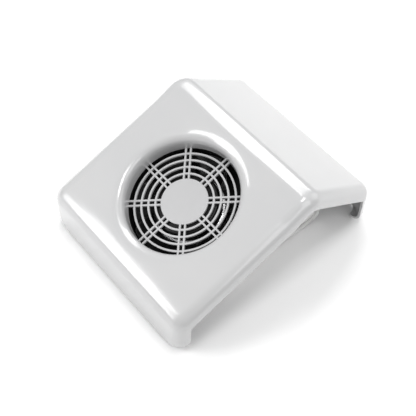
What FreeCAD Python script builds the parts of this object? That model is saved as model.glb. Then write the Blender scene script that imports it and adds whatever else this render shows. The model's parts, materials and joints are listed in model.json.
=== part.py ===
import FreeCAD, Part
import math
import os

import Sketcher

# Nail dust collector: a saddle-shaped moulded shell that stands over the table on its front
# and back walls, with an axial fan under a round grille and a dust bag on the fan's outlet.
# Frame: X along the open ends, Y from the low front to the high back, Z up from the table.

Vector = FreeCAD.Vector
doc = FreeCAD.newDocument("nail_dust_collector")

# ---------------------------------------------------------------- driving dimensions (mm, degrees)

DIMENSIONS = [
    ("shell_width", 207.0, "end to end along X"),
    ("shell_depth", 250.7, "front wall to back wall along Y"),
    ("wall", 2.5, "moulded wall thickness"),
    ("edge_clear", 1.2, "gap between the wall edges and the table"),
    ("fan_setback", 90.7, "front wall to the fan axis at the grille face"),
    ("ring_height", 60.0, "table to the grille face on the fan axis"),
    ("basin_tilt", 19.13, "slope of the basin and the fan"),
    ("basin_rise", 17.6, "grille face to the basin surface, along the fan axis"),
    ("front_corner", 88.0, "fan axis to the front corner, along the basin"),
    ("front_radius", 16.5, "front hand rest radius"),
    ("crest_foot", 71.3, "fan axis to the foot of the crest"),
    ("crest_corner", 86.3, "fan axis to the crest corner"),
    ("crest_rise", 2.4, "crest corner above the basin surface"),
    ("crest_radius", 21.5, "crest radius"),
    ("back_corner", 47.1, "table to the corner of the back wall and the back slope"),
    ("back_radius", 15.0, "radius of that corner"),
    ("lip_radius", 13.4, "rounding of the two open ends"),
    ("sheet_corner", 13.0, "rounding of the lower corners of the walls"),
    ("throat_radius", 58.3, "air opening"),
    ("throat_wall", 5.0, "straight part of the opening's wall"),
    ("post_radius", 4.6, "fan screw posts"),
    ("foot_post_radius", 5.5, "posts that take the rubber feet"),
    ("foot_post_height", 9.0, "posts that take the rubber feet"),
    ("foot_post_x", 72.0, "feet, off centre"),
    ("foot_post_inset", 6.6, "wall face to the foot axis"),
    ("foot_plug_radius", 2.0, "plug of a rubber foot"),
    ("foot_plug_length", 5.0, "plug of a rubber foot"),
    ("foot_radius", 5.2, "rubber foot"),
    ("grille_thick", 2.4, "grille bars and frame"),
    ("grille_disc", 24.2, "blank disc in the middle of the grille"),
    ("ring_first", 29.7, "first grille ring, middle of its width"),
    ("ring_pitch", 7.27, "grille rings, centre to centre"),
    ("ring_width", 1.9, "grille ring width"),
    ("bar_width", 1.8, "grille bar width"),
    ("bar_gap", 5.1, "the two bars of a pair, centre to centre"),
    ("fan_side", 119.6, "fan frame, square"),
    ("fan_corner", 6.0, "fan frame corner radius"),
    ("fan_thick", 25.4, "fan frame thickness"),
    ("fan_flange", 4.0, "fan frame flange thickness"),
    ("fan_bore", 58.0, "fan frame bore radius"),
    ("fan_tube", 59.6, "outer radius of the frame between its flanges"),
    ("bolt_half", 52.5, "fan screws, half their spacing"),
    ("screw_radius", 2.0, "fan screw shank"),
    ("screw_hole", 2.3, "fan screw clearance hole radius"),
    ("screw_grip", 9.0, "length of fan screw in its post"),
    ("head_radius", 3.9, "fan screw head"),
    ("head_height", 2.6, "fan screw head"),
    ("washer_radius", 4.8, "fan screw washer"),
    ("washer_thick", 0.8, "fan screw washer"),
    ("motor_plate", 29.0, "radius of the plate that carries the motor"),
    ("motor_plate_thick", 3.0, "plate that carries the motor"),
    ("strut_width", 6.0, "struts from the motor plate to the frame"),
    ("bush_radius", 4.5, "bearing bush"),
    ("bush_length", 5.0, "bearing bush"),
    ("tube_radius", 6.5, "bearing tube"),
    ("tube_top", 9.0, "grille face down to the top of the bearing tube"),
    ("shaft_radius", 2.0, "rotor shaft"),
    ("shaft_clear", 0.03, "radial clearance of the shaft in its bushes"),
    ("shaft_end", 26.6, "grille face down to the end of the shaft"),
    ("clip_depth", 25.4, "grille face down to the shaft clip"),
    ("clip_thick", 0.6, "shaft clip"),
    ("cap_thick", 0.8, "bearing cap"),
    ("hub_radius", 34.5, "impeller hub"),
    ("hub_wall", 2.0, "impeller hub wall"),
    ("hub_top", 3.5, "grille face down to the top of the hub"),
    ("hub_skin", 1.8, "top of the hub"),
    ("hub_bottom", 23.4, "grille face down to the rim of the hub"),
    ("blade_tip", 57.2, "impeller blade tip radius"),
    ("blade_count", 7, "impeller blades"),
    ("blade_top", 5.0, "grille face down to the blades"),
    ("blade_bottom", 22.4, "grille face down to the lower edge of the blades"),
    ("cup_wall", 2.0, "steel rotor cup wall"),
    ("cup_top", 1.5, "steel rotor cup top"),
    ("boss_radius", 5.0, "rotor cup boss on the shaft"),
    ("boss_bottom", 7.9, "grille face down to the end of that boss"),
    ("iron_thick", 2.0, "rotor iron ring"),
    ("iron_top", 10.0, "grille face down to the rotor iron and the stator"),
    ("iron_height", 11.0, "rotor iron and stator height"),
    ("air_gap", 0.5, "rotor iron to stator"),
    ("pole_arm", 8.0, "width of a stator arm"),
    ("pole_shoe", 4.0, "thickness of a stator pole shoe"),
    ("coil_inner", 11.0, "coil, nearest the axis"),
    ("coil_outer", 22.5, "coil, farthest from the axis"),
    ("coil_width", 14.0, "coil across the arm"),
    ("coil_overhang", 2.6, "coil above and below the stator"),
    ("collar_flange", 2.0, "bag collar flange"),
    ("collar_bore", 56.0, "bag collar, inner radius"),
    ("collar_radius", 58.5, "bag collar spigot, outer radius"),
    ("collar_drop", 36.0, "grille face down to the end of the spigot"),
    ("bag_wall", 1.3, "dust bag fabric, as a solid"),
    ("bag_half_width", 70.0, "dust bag along X, half"),
    ("bag_mouth_gap", 0.3, "spigot to the bag's mouth"),
    ("elastic_radius", 1.6, "elastic cord in the bag's hem"),
    ("elastic_depth", 32.4, "grille face down to the elastic"),
    ("bag_ground_gap", 1.8, "table to the bag's lower face"),
    ("panel_z", 21.5, "height of the switch and the inlet"),
    ("panel_flange", 2.0, "flanges of the switch and the inlet"),
    ("panel_depth", 14.0, "switch and inlet bodies behind the wall's face"),
    ("tab_end", 20.0, "ends of the tabs and pins behind the wall's face"),
    ("switch_x", -30.0, "rocker switch, off centre"),
    ("bezel_half_x", 10.5, "switch bezel"),
    ("bezel_half_z", 7.5, "switch bezel"),
    ("switch_half_x", 9.4, "switch body"),
    ("switch_half_z", 6.4, "switch body"),
    ("well_half_x", 8.8, "recess that the rocker turns in"),
    ("well_half_z", 5.6, "recess that the rocker turns in"),
    ("well_depth", 8.0, "recess that the rocker turns in"),
    ("tab_half", 5.0, "switch tabs, half their spacing"),
    ("key_half", 8.0, "rocker, half its length"),
    ("key_width", 10.6, "rocker, upright"),
    ("rocker_tilt", 9.0, "rocker off its middle position"),
    ("rocker_proud", 3.7, "rocker's high end beyond the back wall"),
    ("inlet_x", -64.0, "power inlet, off centre"),
    ("flange_half_x", 17.0, "inlet flange"),
    ("flange_half_z", 7.5, "inlet flange"),
    ("inlet_half_x", 9.0, "inlet body"),
    ("inlet_half_z", 5.5, "inlet body"),
    ("socket_radius", 3.9, "the two round halves of the inlet's socket"),
    ("socket_depth", 10.0, "socket behind the wall's face"),
    ("pin_radius", 1.2, "inlet pin"),
    ("pin_half", 4.3, "inlet pins, half their spacing"),
    ("inlet_screw_half", 13.0, "inlet screws, half their spacing"),
    ("inlet_screw_radius", 1.5, "inlet screw shank"),
    ("inlet_head_radius", 2.8, "inlet screw head"),
    ("nut_radius", 3.1, "inlet nut, to its corners"),
    ("nut_thick", 2.4, "inlet nut"),
    ("slot_clear", 0.2, "play of the two bodies in the wall's cut-outs"),
    ("terminal_length", 6.0, "terminal block, out from the fan frame"),
    ("terminal_depth", 19.0, "grille face down to the terminal pins"),
    ("terminal_first", 30.0, "first terminal pin, along the fan frame"),
    ("terminal_second", 40.0, "second terminal pin, along the fan frame"),
    ("terminal_pin", 3.0, "terminal pin beyond its block"),
    ("lead_bend", 4.0, "bends of the leads"),
    ("lead_radius", 1.1, "insulated leads"),
]

dims = doc.addObject("Spreadsheet::Sheet", "Dims")
for row, (alias, value, note) in enumerate(DIMENSIONS, start=1):
    dims.set("A%d" % row, alias)
    dims.set("B%d" % row, str(value))
    dims.set("C%d" % row, note)
    dims.setAlias("B%d" % row, alias)
doc.recompute()

# Every node that is written, in order.
nodes = []


# ---------------------------------------------------------------- helpers

def size(alias):
    """The value of one cell of the sheet."""
    return float(dims.get(alias))


def amount(expression):
    """The number that an expression on the sheet's cells gives."""
    result = dims.evalExpression(expression)
    return float(getattr(result, "Value", result))


def bind(thing, **expressions):
    """Bind properties of an object to expressions on the sheet's cells."""
    for name, expression in expressions.items():
        thing.setExpression(name, expression)
    return thing


def finish_node(thing, label):
    """Give a finished sub-part its name and list it for writing."""
    thing.Label = label
    nodes.append(thing)
    return thing


def fan_seat(thing):
    """Stand a sub-part on the fan axis: its own Z = 0 becomes the face of the grille."""
    if thing.isDerivedFrom("Part::Primitive"):
        thing = group(thing)
    thing.Placement = FreeCAD.Placement(Vector(0, 0, 0), FreeCAD.Rotation(Vector(1, 0, 0), 10))
    thing.setExpression("Placement.Base.y", FAN_Y)
    thing.setExpression("Placement.Base.z", "Dims.ring_height")
    thing.setExpression("Placement.Rotation.Angle", "Dims.basin_tilt")
    return thing


def cylinder(radius, bottom, top, x="0", y="0"):
    """An upright cylinder between two heights, its sizes bound to the sheet."""
    body = doc.addObject("Part::Cylinder", "Cylinder")
    bind(body, Radius=radius, Height="(%s) - (%s)" % (top, bottom))
    body.setExpression("Placement.Base.x", x)
    body.setExpression("Placement.Base.y", y)
    body.setExpression("Placement.Base.z", bottom)
    return body


def box(x, y, z):
    """A box from three (low, high) pairs of expressions."""
    body = doc.addObject("Part::Box", "Box")
    for side, axis, (low, high) in zip(("Length", "Width", "Height"), "xyz", (x, y, z)):
        body.setExpression(side, "(%s) - (%s)" % (high, low))
        body.setExpression("Placement.Base." + axis, low)
    return body


def fuse(*shapes):
    body = doc.addObject("Part::MultiFuse", "Fuse")
    body.Shapes = list(shapes)
    return body


def cut(base, *tools):
    body = doc.addObject("Part::Cut", "Cut")
    body.Base = base
    body.Tool = tools[0] if len(tools) == 1 else fuse(*tools)
    return body


def group(*shapes):
    """Separate solids that share one node."""
    body = doc.addObject("Part::Compound", "Compound")
    body.Links = list(shapes)
    return body


def turned(shape, angle):
    """The same shape turned about the Z axis."""
    body = group(shape)
    body.Placement = FreeCAD.Placement(Vector(0, 0, 0), FreeCAD.Rotation(Vector(0, 0, 1), angle))
    return body


def ring(inner, outer, bottom, top):
    return cut(cylinder(outer, bottom, top), cylinder(inner, "(%s) - 1" % bottom, "(%s) + 1" % top))


def new_body(name):
    body = doc.addObject("PartDesign::Body", name)
    if hasattr(body, "AllowCompound"):
        body.AllowCompound = True
    return body


def sketch_on(body, role, name, base=("0", "0", "0"), angle=None):
    """A sketch on one of the body's own origin planes, moved within that plane's frame."""
    sketch = body.newObject("Sketcher::SketchObject", name)
    plane = next(item for item in body.Origin.OriginFeatures if item.Role == role)
    sketch.AttachmentSupport = [(plane, "")]
    sketch.MapMode = "FlatFace"
    sketch.AttachmentOffset = FreeCAD.Placement(Vector(0, 0, 0), FreeCAD.Rotation(Vector(0, 0, 1), 10))
    for axis, expression in zip("xyz", base):
        sketch.setExpression("AttachmentOffset.Base." + axis, expression)
    sketch.setExpression("AttachmentOffset.Rotation.Angle", angle or "0")
    return sketch


def polygon(sketch, corners):
    """A closed outline whose corners are bound to pairs of expressions."""
    points = [Vector(amount(x), amount(y), 0) for x, y in corners]
    first = sketch.GeometryCount
    count = len(points)
    for i in range(count):
        sketch.addGeometry(Part.LineSegment(points[i], points[(i + 1) % count]))
    for i in range(count):
        sketch.addConstraint(Sketcher.Constraint("Coincident", first + i, 2, first + (i + 1) % count, 1))
    for i, (x, y) in enumerate(corners):
        for kind, expression, start in (("DistanceX", x, points[i].x), ("DistanceY", y, points[i].y)):
            index = sketch.addConstraint(Sketcher.Constraint(kind, -1, 1, first + i, 1, start))
            sketch.setExpression("Constraints[%d]" % index, expression)


def rectangle(sketch, x, y):
    """A closed rectangle from two (low, high) pairs of expressions."""
    polygon(sketch, [(x[0], y[0]), (x[1], y[0]), (x[1], y[1]), (x[0], y[1])])


def circle(sketch, radius, x="0", y="0"):
    """A circle bound to expressions for its radius and its centre."""
    centre = Vector(amount(x), amount(y), 0)
    index = sketch.addGeometry(Part.Circle(centre, Vector(0, 0, 1), amount(radius)))
    for kind, expression, start in (("DistanceX", x, centre.x), ("DistanceY", y, centre.y)):
        number = sketch.addConstraint(Sketcher.Constraint(kind, -1, 1, index, 3, start))
        sketch.setExpression("Constraints[%d]" % number, expression)
    number = sketch.addConstraint(Sketcher.Constraint("Radius", index, amount(radius)))
    sketch.setExpression("Constraints[%d]" % number, radius)


def feature(body, kind, name, sketch, **expressions):
    """A sketch-based feature, checked to have changed the body's volume."""
    before = body.Shape.Volume if body.Tip else 0.0
    made = body.newObject("PartDesign::" + kind, name)
    made.Profile = sketch
    for prop, value in expressions.items():
        if isinstance(value, str):
            made.setExpression(prop, value)
        else:
            setattr(made, prop, value)
    doc.recompute()
    if abs(body.Shape.Volume - before) < 0.5:
        raise RuntimeError("%s changed nothing" % name)
    return made


# ---------------------------------------------------------------- places worked out from the sheet

# Y runs from the front wall's foot to the rocker, which stands proud of the back wall.
FRONT_Y = "(0 - (Dims.shell_depth + Dims.rocker_proud) / 2)"
BACK_Y = "(%s + Dims.shell_depth)" % FRONT_Y
FAN_Y = "(%s + Dims.fan_setback)" % FRONT_Y
SINE = "sin(Dims.basin_tilt * 1 deg)"
COSINE = "cos(Dims.basin_tilt * 1 deg)"
HALF_WIDTH = "(Dims.shell_width / 2)"
FLANGE_UNDERSIDE = "(0 - Dims.grille_thick - Dims.fan_thick - Dims.collar_flange)"

FOOT_PLACES = [(x, y) for y in (FRONT_Y + " + Dims.foot_post_inset", BACK_Y + " - Dims.foot_post_inset")
               for x in ("0 - Dims.foot_post_x", "Dims.foot_post_x")]
INLET_SCREW_X = ["Dims.inlet_x - Dims.inlet_screw_half", "Dims.inlet_x + Dims.inlet_screw_half"]
PIN_SIDES = ["(0 - Dims.pin_half)", "Dims.pin_half"]
TERMINAL_Y = ["Dims.terminal_first", "Dims.terminal_second"]

# Corners of the dust bag's side outline: Y from the fan axis, Z from its lower face, and rounding.
BAG_OUTLINE = [(-50, 0, 2), (-50, 4.6, 2), (74, 44.6, 4), (85, 74.2, 5), (97, 70.2, 6), (120, 50.2, 8),
               (120, 6.2, 6), (112, 0, 5)]
# The bag's neck: its hem stops below the collar's flange, and its end runs on into the bag.
HEM_GAP = 0.5
NECK_OVERLAP = 3.0


def basin_point(along, above):
    """Y and Z of a point given along the basin and above the face of the grille."""
    y = "%s + (%s) * %s - (%s) * %s" % (FAN_Y, along, COSINE, above, SINE)
    z = "Dims.ring_height + (%s) * %s + (%s) * %s" % (along, SINE, above, COSINE)
    return (y, z)


# ---------------------------------------------------------------- shell

def rounded_face(corners, radii):
    """A face in the YZ plane with the given corners, each rounded by its own radius (0: sharp)."""
    points = [Vector(0, y, z) for y, z in corners]
    count = len(points)
    stations = []
    for i, (corner, radius) in enumerate(zip(points, radii)):
        back = (points[i - 1] - corner).normalize()
        ahead = (points[(i + 1) % count] - corner).normalize()
        if radius == 0:
            stations.append((corner, corner, corner))
            continue
        half_angle = back.getAngle(ahead) / 2
        reach = radius / math.tan(half_angle)
        inward = (back + ahead).normalize()
        middle = corner + inward * (radius / math.sin(half_angle) - radius)
        stations.append((corner + back * reach, middle, corner + ahead * reach))
    edges = []
    for i, (start, middle, end) in enumerate(stations):
        if start != end:
            edges.append(Part.Arc(start, middle, end).toShape())
        edges.append(Part.makeLine(end, stations[(i + 1) % count][0]))
    return Part.Face(Part.Wire(edges))


def hump(face, inset, width, rounding):
    """A profile face, moved inwards and drawn out along X, with its end rims rounded."""
    if inset:
        face = face.makeOffset2D(-inset)
    solid = face.extrude(Vector(width, 0, 0))
    solid.translate(Vector(-width / 2, 0, 0))
    if not rounding:
        return solid
    underside = solid.BoundBox.ZMin + 0.1
    rims = [edge for edge in solid.Edges if edge.BoundBox.XLength < 0.01 and edge.BoundBox.ZMax > underside]
    return solid.makeFillet(rounding, rims)


def make_sheet():
    """The shell's bent sheet: outer hump less inner hump, open below and, inside its lips, at both ends."""
    below = -3 * size("lip_radius")
    floor = size("edge_clear")
    names = [("0 - Dims.front_corner", "Dims.basin_rise"), ("Dims.crest_foot", "Dims.basin_rise"),
             ("Dims.crest_corner", "Dims.basin_rise + Dims.crest_rise")]
    top = [tuple(amount(part) for part in basin_point(*name)) for name in names]
    front, back = amount(FRONT_Y), amount(BACK_Y)
    lean = (top[0][0] - front) / (top[0][1] - floor)
    corners = [(front - lean * (floor - below), below)] + top + [(back, size("back_corner")), (back, below)]
    radii = [0, size("front_radius"), 0, size("crest_radius"), size("back_radius"), 0]
    face = rounded_face(corners, radii)
    width, wall, lip = size("shell_width"), size("wall"), size("lip_radius")
    sheet = hump(face, 0, width, lip)
    sheet = sheet.cut(hump(face, wall, width - 2 * wall, lip - wall))
    sheet = sheet.cut(hump(face, lip, width + 2, 0))
    table = Part.makeBox(2 * width, 2 * width, 4 * lip)
    table.translate(Vector(-width, -width, floor - 4 * lip))
    made = doc.addObject("Part::Feature", "Sheet")
    made.Shape = sheet.cut(table)
    return made


def make_shell():
    """The moulded shell: the sheet, its bell-shaped air opening, posts and panel cut-outs."""
    sheet = make_sheet()

    # Lower corners of both walls, seen along Y: a square less the rounding's own circle.
    corner_cuts = []
    for sign in (-1, 1):
        inner = "%d * (%s - Dims.sheet_corner)" % (sign, HALF_WIDTH)
        outer = "%d * (%s + 1)" % (sign, HALF_WIDTH)
        span = (inner, outer) if sign > 0 else (outer, inner)
        block = box(span, (FRONT_Y + " - 1", BACK_Y + " + 1"), ("0", "Dims.edge_clear + Dims.sheet_corner"))
        rod = doc.addObject("Part::Cylinder", "Cylinder")
        bind(rod, Radius="Dims.sheet_corner", Height="Dims.shell_depth + 10")
        rod.Placement = FreeCAD.Placement(Vector(0, 0, 0), FreeCAD.Rotation(Vector(1, 0, 0), -90))
        rod.setExpression("Placement.Base.x", inner)
        rod.setExpression("Placement.Base.y", FRONT_Y + " - 5")
        rod.setExpression("Placement.Base.z", "Dims.edge_clear + Dims.sheet_corner")
        corner_cuts.append(cut(block, rod))

    # Air opening: a straight throat that flares into the basin as a quarter round.
    mouth = "(Dims.throat_radius + Dims.basin_rise - Dims.throat_wall)"
    flare = "(Dims.basin_rise - Dims.throat_wall)"
    outer = doc.addObject("Part::Torus", "Torus")
    bind(outer, Radius1=mouth, Radius2=flare)
    inner = doc.addObject("Part::Torus", "Torus")
    bind(inner, Radius1=mouth, Radius2=flare + " - Dims.wall")
    for torus in (outer, inner):
        torus.setExpression("Placement.Base.z", "Dims.throat_wall")
    quarter = doc.addObject("Part::Common", "Common")
    quarter.Base = cut(outer, inner)
    quarter.Tool = ring("Dims.throat_radius - 1", mouth, "Dims.throat_wall", "Dims.basin_rise + 1")
    throat = ring("Dims.throat_radius", "Dims.throat_radius + Dims.wall", "0", "Dims.throat_wall")
    bell = fan_seat(fuse(quarter, throat))
    hole = fan_seat(cylinder(mouth, "0 - 5", "Dims.basin_rise + 30"))

    posts, pilots = [], []
    for x in (-1, 1):
        for y in (-1, 1):
            spot = ("%d * Dims.bolt_half" % x, "%d * Dims.bolt_half" % y)
            posts.append(cylinder("Dims.post_radius", "0", "Dims.basin_rise - 1", *spot))
            pilots.append(cylinder("Dims.screw_radius", "0 - 1", "Dims.screw_grip + 0.5", *spot))
    posts = fan_seat(fuse(*posts))
    pilots = fan_seat(fuse(*pilots))

    foot_posts, foot_holes = [], []
    for x, y in FOOT_PLACES:
        top = "Dims.edge_clear + Dims.foot_post_height"
        foot_posts.append(cylinder("Dims.foot_post_radius", "Dims.edge_clear", top, x, y))
        top = "Dims.edge_clear + Dims.foot_plug_length"
        foot_holes.append(cylinder("Dims.foot_plug_radius", "0", top, x, y))

    through = (BACK_Y + " - 4", BACK_Y + " + 1")
    slots = []
    for part in ("switch", "inlet"):
        half_x = "(Dims.%s_half_x + Dims.slot_clear)" % part
        half_z = "(Dims.%s_half_z + Dims.slot_clear)" % part
        slots.append(box(("Dims.%s_x - %s" % (part, half_x), "Dims.%s_x + %s" % (part, half_x)), through,
                         ("Dims.panel_z - " + half_z, "Dims.panel_z + " + half_z)))
    for x in INLET_SCREW_X:
        slots.append(rod_along_y("Dims.inlet_screw_radius + 0.1", *through, x))

    blank = fuse(cut(sheet, hole), bell, posts, *foot_posts)
    shell = cut(blank, pilots, *(slots + foot_holes + corner_cuts))
    finish_node(shell, "top_shell")


def make_grille():
    """The grille: a blank disc, rings and paired bars in a square frame that the fan clamps."""
    body = new_body("Grille")
    plate = sketch_on(body, "XY_Plane", "Frame")
    half = "(Dims.fan_side / 2)"
    rectangle(plate, ("0 - " + half, half), ("0 - " + half, half))
    circle(plate, "Dims.throat_radius")
    for x in (-1, 1):
        for y in (-1, 1):
            circle(plate, "Dims.screw_hole", "%d * Dims.bolt_half" % x, "%d * Dims.bolt_half" % y)
    feature(body, "Pad", "FramePad", plate, Length="Dims.grille_thick", Reversed=True)

    rings = sketch_on(body, "XY_Plane", "Rings")
    circle(rings, "Dims.grille_disc")
    for i in range(4):
        middle = "Dims.ring_first + %d * Dims.ring_pitch" % i
        circle(rings, middle + " - Dims.ring_width / 2")
        circle(rings, middle + " + Dims.ring_width / 2")
    feature(body, "Pad", "RingPads", rings, Length="Dims.grille_thick", Reversed=True)

    pair = sketch_on(body, "XY_Plane", "BarPair")
    for side in (-1, 1):
        middle = "%d * Dims.bar_gap / 2" % side
        rectangle(pair, ("Dims.grille_disc - 1", "Dims.throat_radius + 1"),
                  (middle + " - Dims.bar_width / 2", middle + " + Dims.bar_width / 2"))
    bars = feature(body, "Pad", "BarPads", pair, Length="Dims.grille_thick", Reversed=True)
    round_fan_axis(body, "BarPattern", bars, "8")
    fan_seat(body)
    finish_node(body, "intake_grille")


def round_fan_axis(body, name, original, count):
    """Repeat a feature evenly round the body's own Z axis."""
    pattern = body.newObject("PartDesign::PolarPattern", name)
    axis = next(item for item in body.Origin.OriginFeatures if item.Role == "Z_Axis")
    pattern.Originals = [original]
    pattern.Axis = (axis, [""])
    pattern.Angle = 360
    pattern.setExpression("Occurrences", count)
    body.Tip = pattern
    doc.recompute()
    return pattern


# ---------------------------------------------------------------- fan

def make_fan_frame():
    """The square fan frame: two flanges on a tube, and struts that hold the motor plate."""
    half = "(Dims.fan_side / 2)"
    top = "0 - Dims.grille_thick"
    bottom = "(0 - Dims.grille_thick - Dims.fan_thick)"
    flanges = []
    for low, high in ((bottom, bottom + " + Dims.fan_flange"), (top + " - Dims.fan_flange", top)):
        block = box(("0 - " + half, half), ("0 - " + half, half), (low, high))
        flanges.append(rounded_uprights(block, "Dims.fan_corner"))
    shell = fuse(cylinder("Dims.fan_tube", bottom, top), *flanges)
    holes = [cylinder("Dims.fan_bore", bottom + " - 1", top + " + 1")]
    for x in (-1, 1):
        for y in (-1, 1):
            spot = ("%d * Dims.bolt_half" % x, "%d * Dims.bolt_half" % y)
            holes.append(cylinder("Dims.screw_hole", bottom + " - 1", top + " + 1", *spot))
    shell = cut(shell, *holes)

    plate_top = bottom + " + Dims.motor_plate_thick"
    struts = []
    for angle in (45, 135, 225, 315):
        strut = box(("Dims.tube_radius", "Dims.fan_bore + 1"),
                    ("0 - Dims.strut_width / 2", "Dims.strut_width / 2"), (bottom, plate_top))
        struts.append(turned(strut, angle))
    motor = fuse(cylinder("Dims.motor_plate", bottom, plate_top),
                 cylinder("Dims.tube_radius", bottom, "0 - Dims.tube_top"), *struts)
    motor = cut(motor, cylinder("Dims.bush_radius", bottom + " - 1", "0 - Dims.tube_top + 1"))
    finish_node(fan_seat(fuse(shell, motor)), "fan_frame")


def rounded_uprights(block, radius):
    """Fillet the four upright edges of a box."""
    doc.recompute()
    made = doc.addObject("Part::Fillet", "Fillet")
    made.Base = block
    edges = []
    for i, edge in enumerate(block.Shape.Edges, start=1):
        if edge.BoundBox.ZLength > max(edge.BoundBox.XLength, edge.BoundBox.YLength):
            edges.append((i, amount(radius), amount(radius)))
    made.Edges = edges
    return made


def make_bearings():
    """Bushes, thrust washer and cap in the frame's bearing tube."""
    bore = "Dims.shaft_radius + Dims.shaft_clear"
    upper = ring(bore, "Dims.bush_radius", "0 - Dims.tube_top - Dims.bush_length", "0 - Dims.tube_top")
    finish_node(fan_seat(upper), "upper_bush")
    low = "(0 - Dims.clip_depth + 0.4)"
    lower = ring(bore, "Dims.bush_radius", low, low + " + Dims.bush_length")
    finish_node(fan_seat(lower), "lower_bush")
    washer = ring("Dims.shaft_radius + 0.1", "Dims.bush_radius - 0.3",
                  "0 - Dims.tube_top", "0 - Dims.tube_top + 0.8")
    finish_node(fan_seat(washer), "thrust_washer")
    bottom = "(0 - Dims.grille_thick - Dims.fan_thick)"
    cap = cylinder("Dims.bush_radius", bottom, bottom + " + Dims.cap_thick")
    finish_node(fan_seat(cap), "bearing_cap")


def make_stator():
    """Four-pole stator on the bearing tube, with a coil on each arm."""
    top = "(0 - Dims.iron_top)"
    bottom = "(0 - Dims.iron_top - Dims.iron_height)"
    outer = "(Dims.hub_radius - Dims.hub_wall - Dims.cup_wall - Dims.iron_thick - Dims.air_gap)"
    centre = cylinder("Dims.tube_radius + 3.5", bottom, top)
    long_side = ("0 - %s + 1" % outer, outer + " - 1")
    short_side = ("0 - Dims.pole_arm / 2", "Dims.pole_arm / 2")
    arms = [box(long_side, short_side, (bottom, top)), box(short_side, long_side, (bottom, top))]
    rim = ring(outer + " - Dims.pole_shoe", outer, bottom, top)
    slots = []
    for angle in (45, -45):
        slot = box(("0 - " + outer + " - 5", outer + " + 5"), ("0 - 1.5", "1.5"),
                   (bottom + " - 1", top + " + 1"))
        slots.append(turned(slot, angle))
    shoes = cut(rim, *slots)
    core = cut(fuse(centre, shoes, *arms), cylinder("Dims.tube_radius", bottom + " - 1", top + " + 1"))
    finish_node(fan_seat(core), "stator_core")

    coils = []
    for turn in range(4):
        block = box(("Dims.coil_inner", "Dims.coil_outer"),
                    ("0 - Dims.coil_width / 2", "Dims.coil_width / 2"),
                    (bottom + " - Dims.coil_overhang", top + " + Dims.coil_overhang"))
        window = box(("Dims.coil_inner - 1", "Dims.coil_outer + 1"), short_side, (bottom, top))
        coils.append(turned(cut(block, window), 90 * turn))
    finish_node(fan_seat(group(*coils)), "stator_coils")


def make_rotor():
    """Everything that spins: impeller, steel cup, iron ring, shaft and clip."""
    inner = "(Dims.hub_radius - Dims.hub_wall)"
    cup_top = "(0 - Dims.hub_top - Dims.hub_skin)"
    cup = cut(cylinder(inner, "0 - Dims.hub_bottom", cup_top),
              cylinder(inner + " - Dims.cup_wall", "0 - Dims.hub_bottom - 1", cup_top + " - Dims.cup_top"))
    cup = fuse(cup, cylinder("Dims.boss_radius", "0 - Dims.boss_bottom", cup_top + " - 0.5"))
    cup = cut(cup, cylinder("Dims.shaft_radius", "0 - Dims.boss_bottom - 1", cup_top + " - 0.3"))
    finish_node(fan_seat(cup), "rotor_cup")

    iron_outer = inner + " - Dims.cup_wall"
    iron = ring(iron_outer + " - Dims.iron_thick", iron_outer, "0 - Dims.iron_top - Dims.iron_height",
                "0 - Dims.iron_top")
    finish_node(fan_seat(iron), "rotor_iron")

    groove = ring("Dims.shaft_radius - 0.5", "Dims.shaft_radius + 1", "0 - Dims.clip_depth - Dims.clip_thick",
                  "0 - Dims.clip_depth")
    shaft = cut(cylinder("Dims.shaft_radius", "0 - Dims.shaft_end", cup_top + " - 0.3"), groove)
    finish_node(fan_seat(shaft), "rotor_shaft")
    clip = ring("Dims.shaft_radius - 0.5", "Dims.shaft_radius + 1.6", "0 - Dims.clip_depth - Dims.clip_thick",
                "0 - Dims.clip_depth")
    notch = box(("0 - 0.9", "0.9"), ("0", "6"), ("0 - Dims.clip_depth - 2", "0 - Dims.clip_depth + 2"))
    finish_node(fan_seat(cut(clip, notch)), "shaft_clip")
    make_impeller()


def make_impeller():
    """Hub and twisted blades, trimmed to the tip radius."""
    body = new_body("Impeller")
    hub = sketch_on(body, "XZ_Plane", "HubSection")
    inner = "Dims.hub_radius - Dims.hub_wall"
    top, skin = "0 - Dims.hub_top", "0 - Dims.hub_top - Dims.hub_skin"
    rim = "0 - Dims.hub_bottom"
    polygon(hub, [("0", skin), ("0", top), ("Dims.hub_radius - 2", top), ("Dims.hub_radius", top + " - 2"),
                  ("Dims.hub_radius", rim), (inner, rim), (inner, skin)])
    made = body.newObject("PartDesign::Revolution", "Hub")
    made.Profile = hub
    made.ReferenceAxis = (hub, ["V_Axis"])
    made.Angle = 360
    doc.recompute()

    sections = []
    for name, radius, half, thick in (("BladeRoot", "Dims.hub_radius - 1", "7.5", "1.0"),
                                      ("BladeTip", "Dims.blade_tip + 2", "14.5", "0.8")):
        section = sketch_on(body, "YZ_Plane", name, base=("0", "0", radius))
        high, low = "0 - Dims.blade_top", "0 - Dims.blade_bottom"
        polygon(section, [("0 - %s - %s" % (half, thick), high), ("0 - %s + %s" % (half, thick), high),
                          ("%s + %s" % (half, thick), low), ("%s - %s" % (half, thick), low)])
        sections.append(section)
    blade = body.newObject("PartDesign::AdditiveLoft", "Blade")
    blade.Profile = sections[0]
    blade.Sections = [sections[1]]
    doc.recompute()
    round_fan_axis(body, "Blades", blade, "Dims.blade_count")

    trimmed = doc.addObject("Part::Common", "TrimmedImpeller")
    trimmed.Base = body
    trimmed.Tool = cylinder("Dims.blade_tip", "0 - 30", "0")
    finish_node(fan_seat(trimmed), "impeller")


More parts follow.
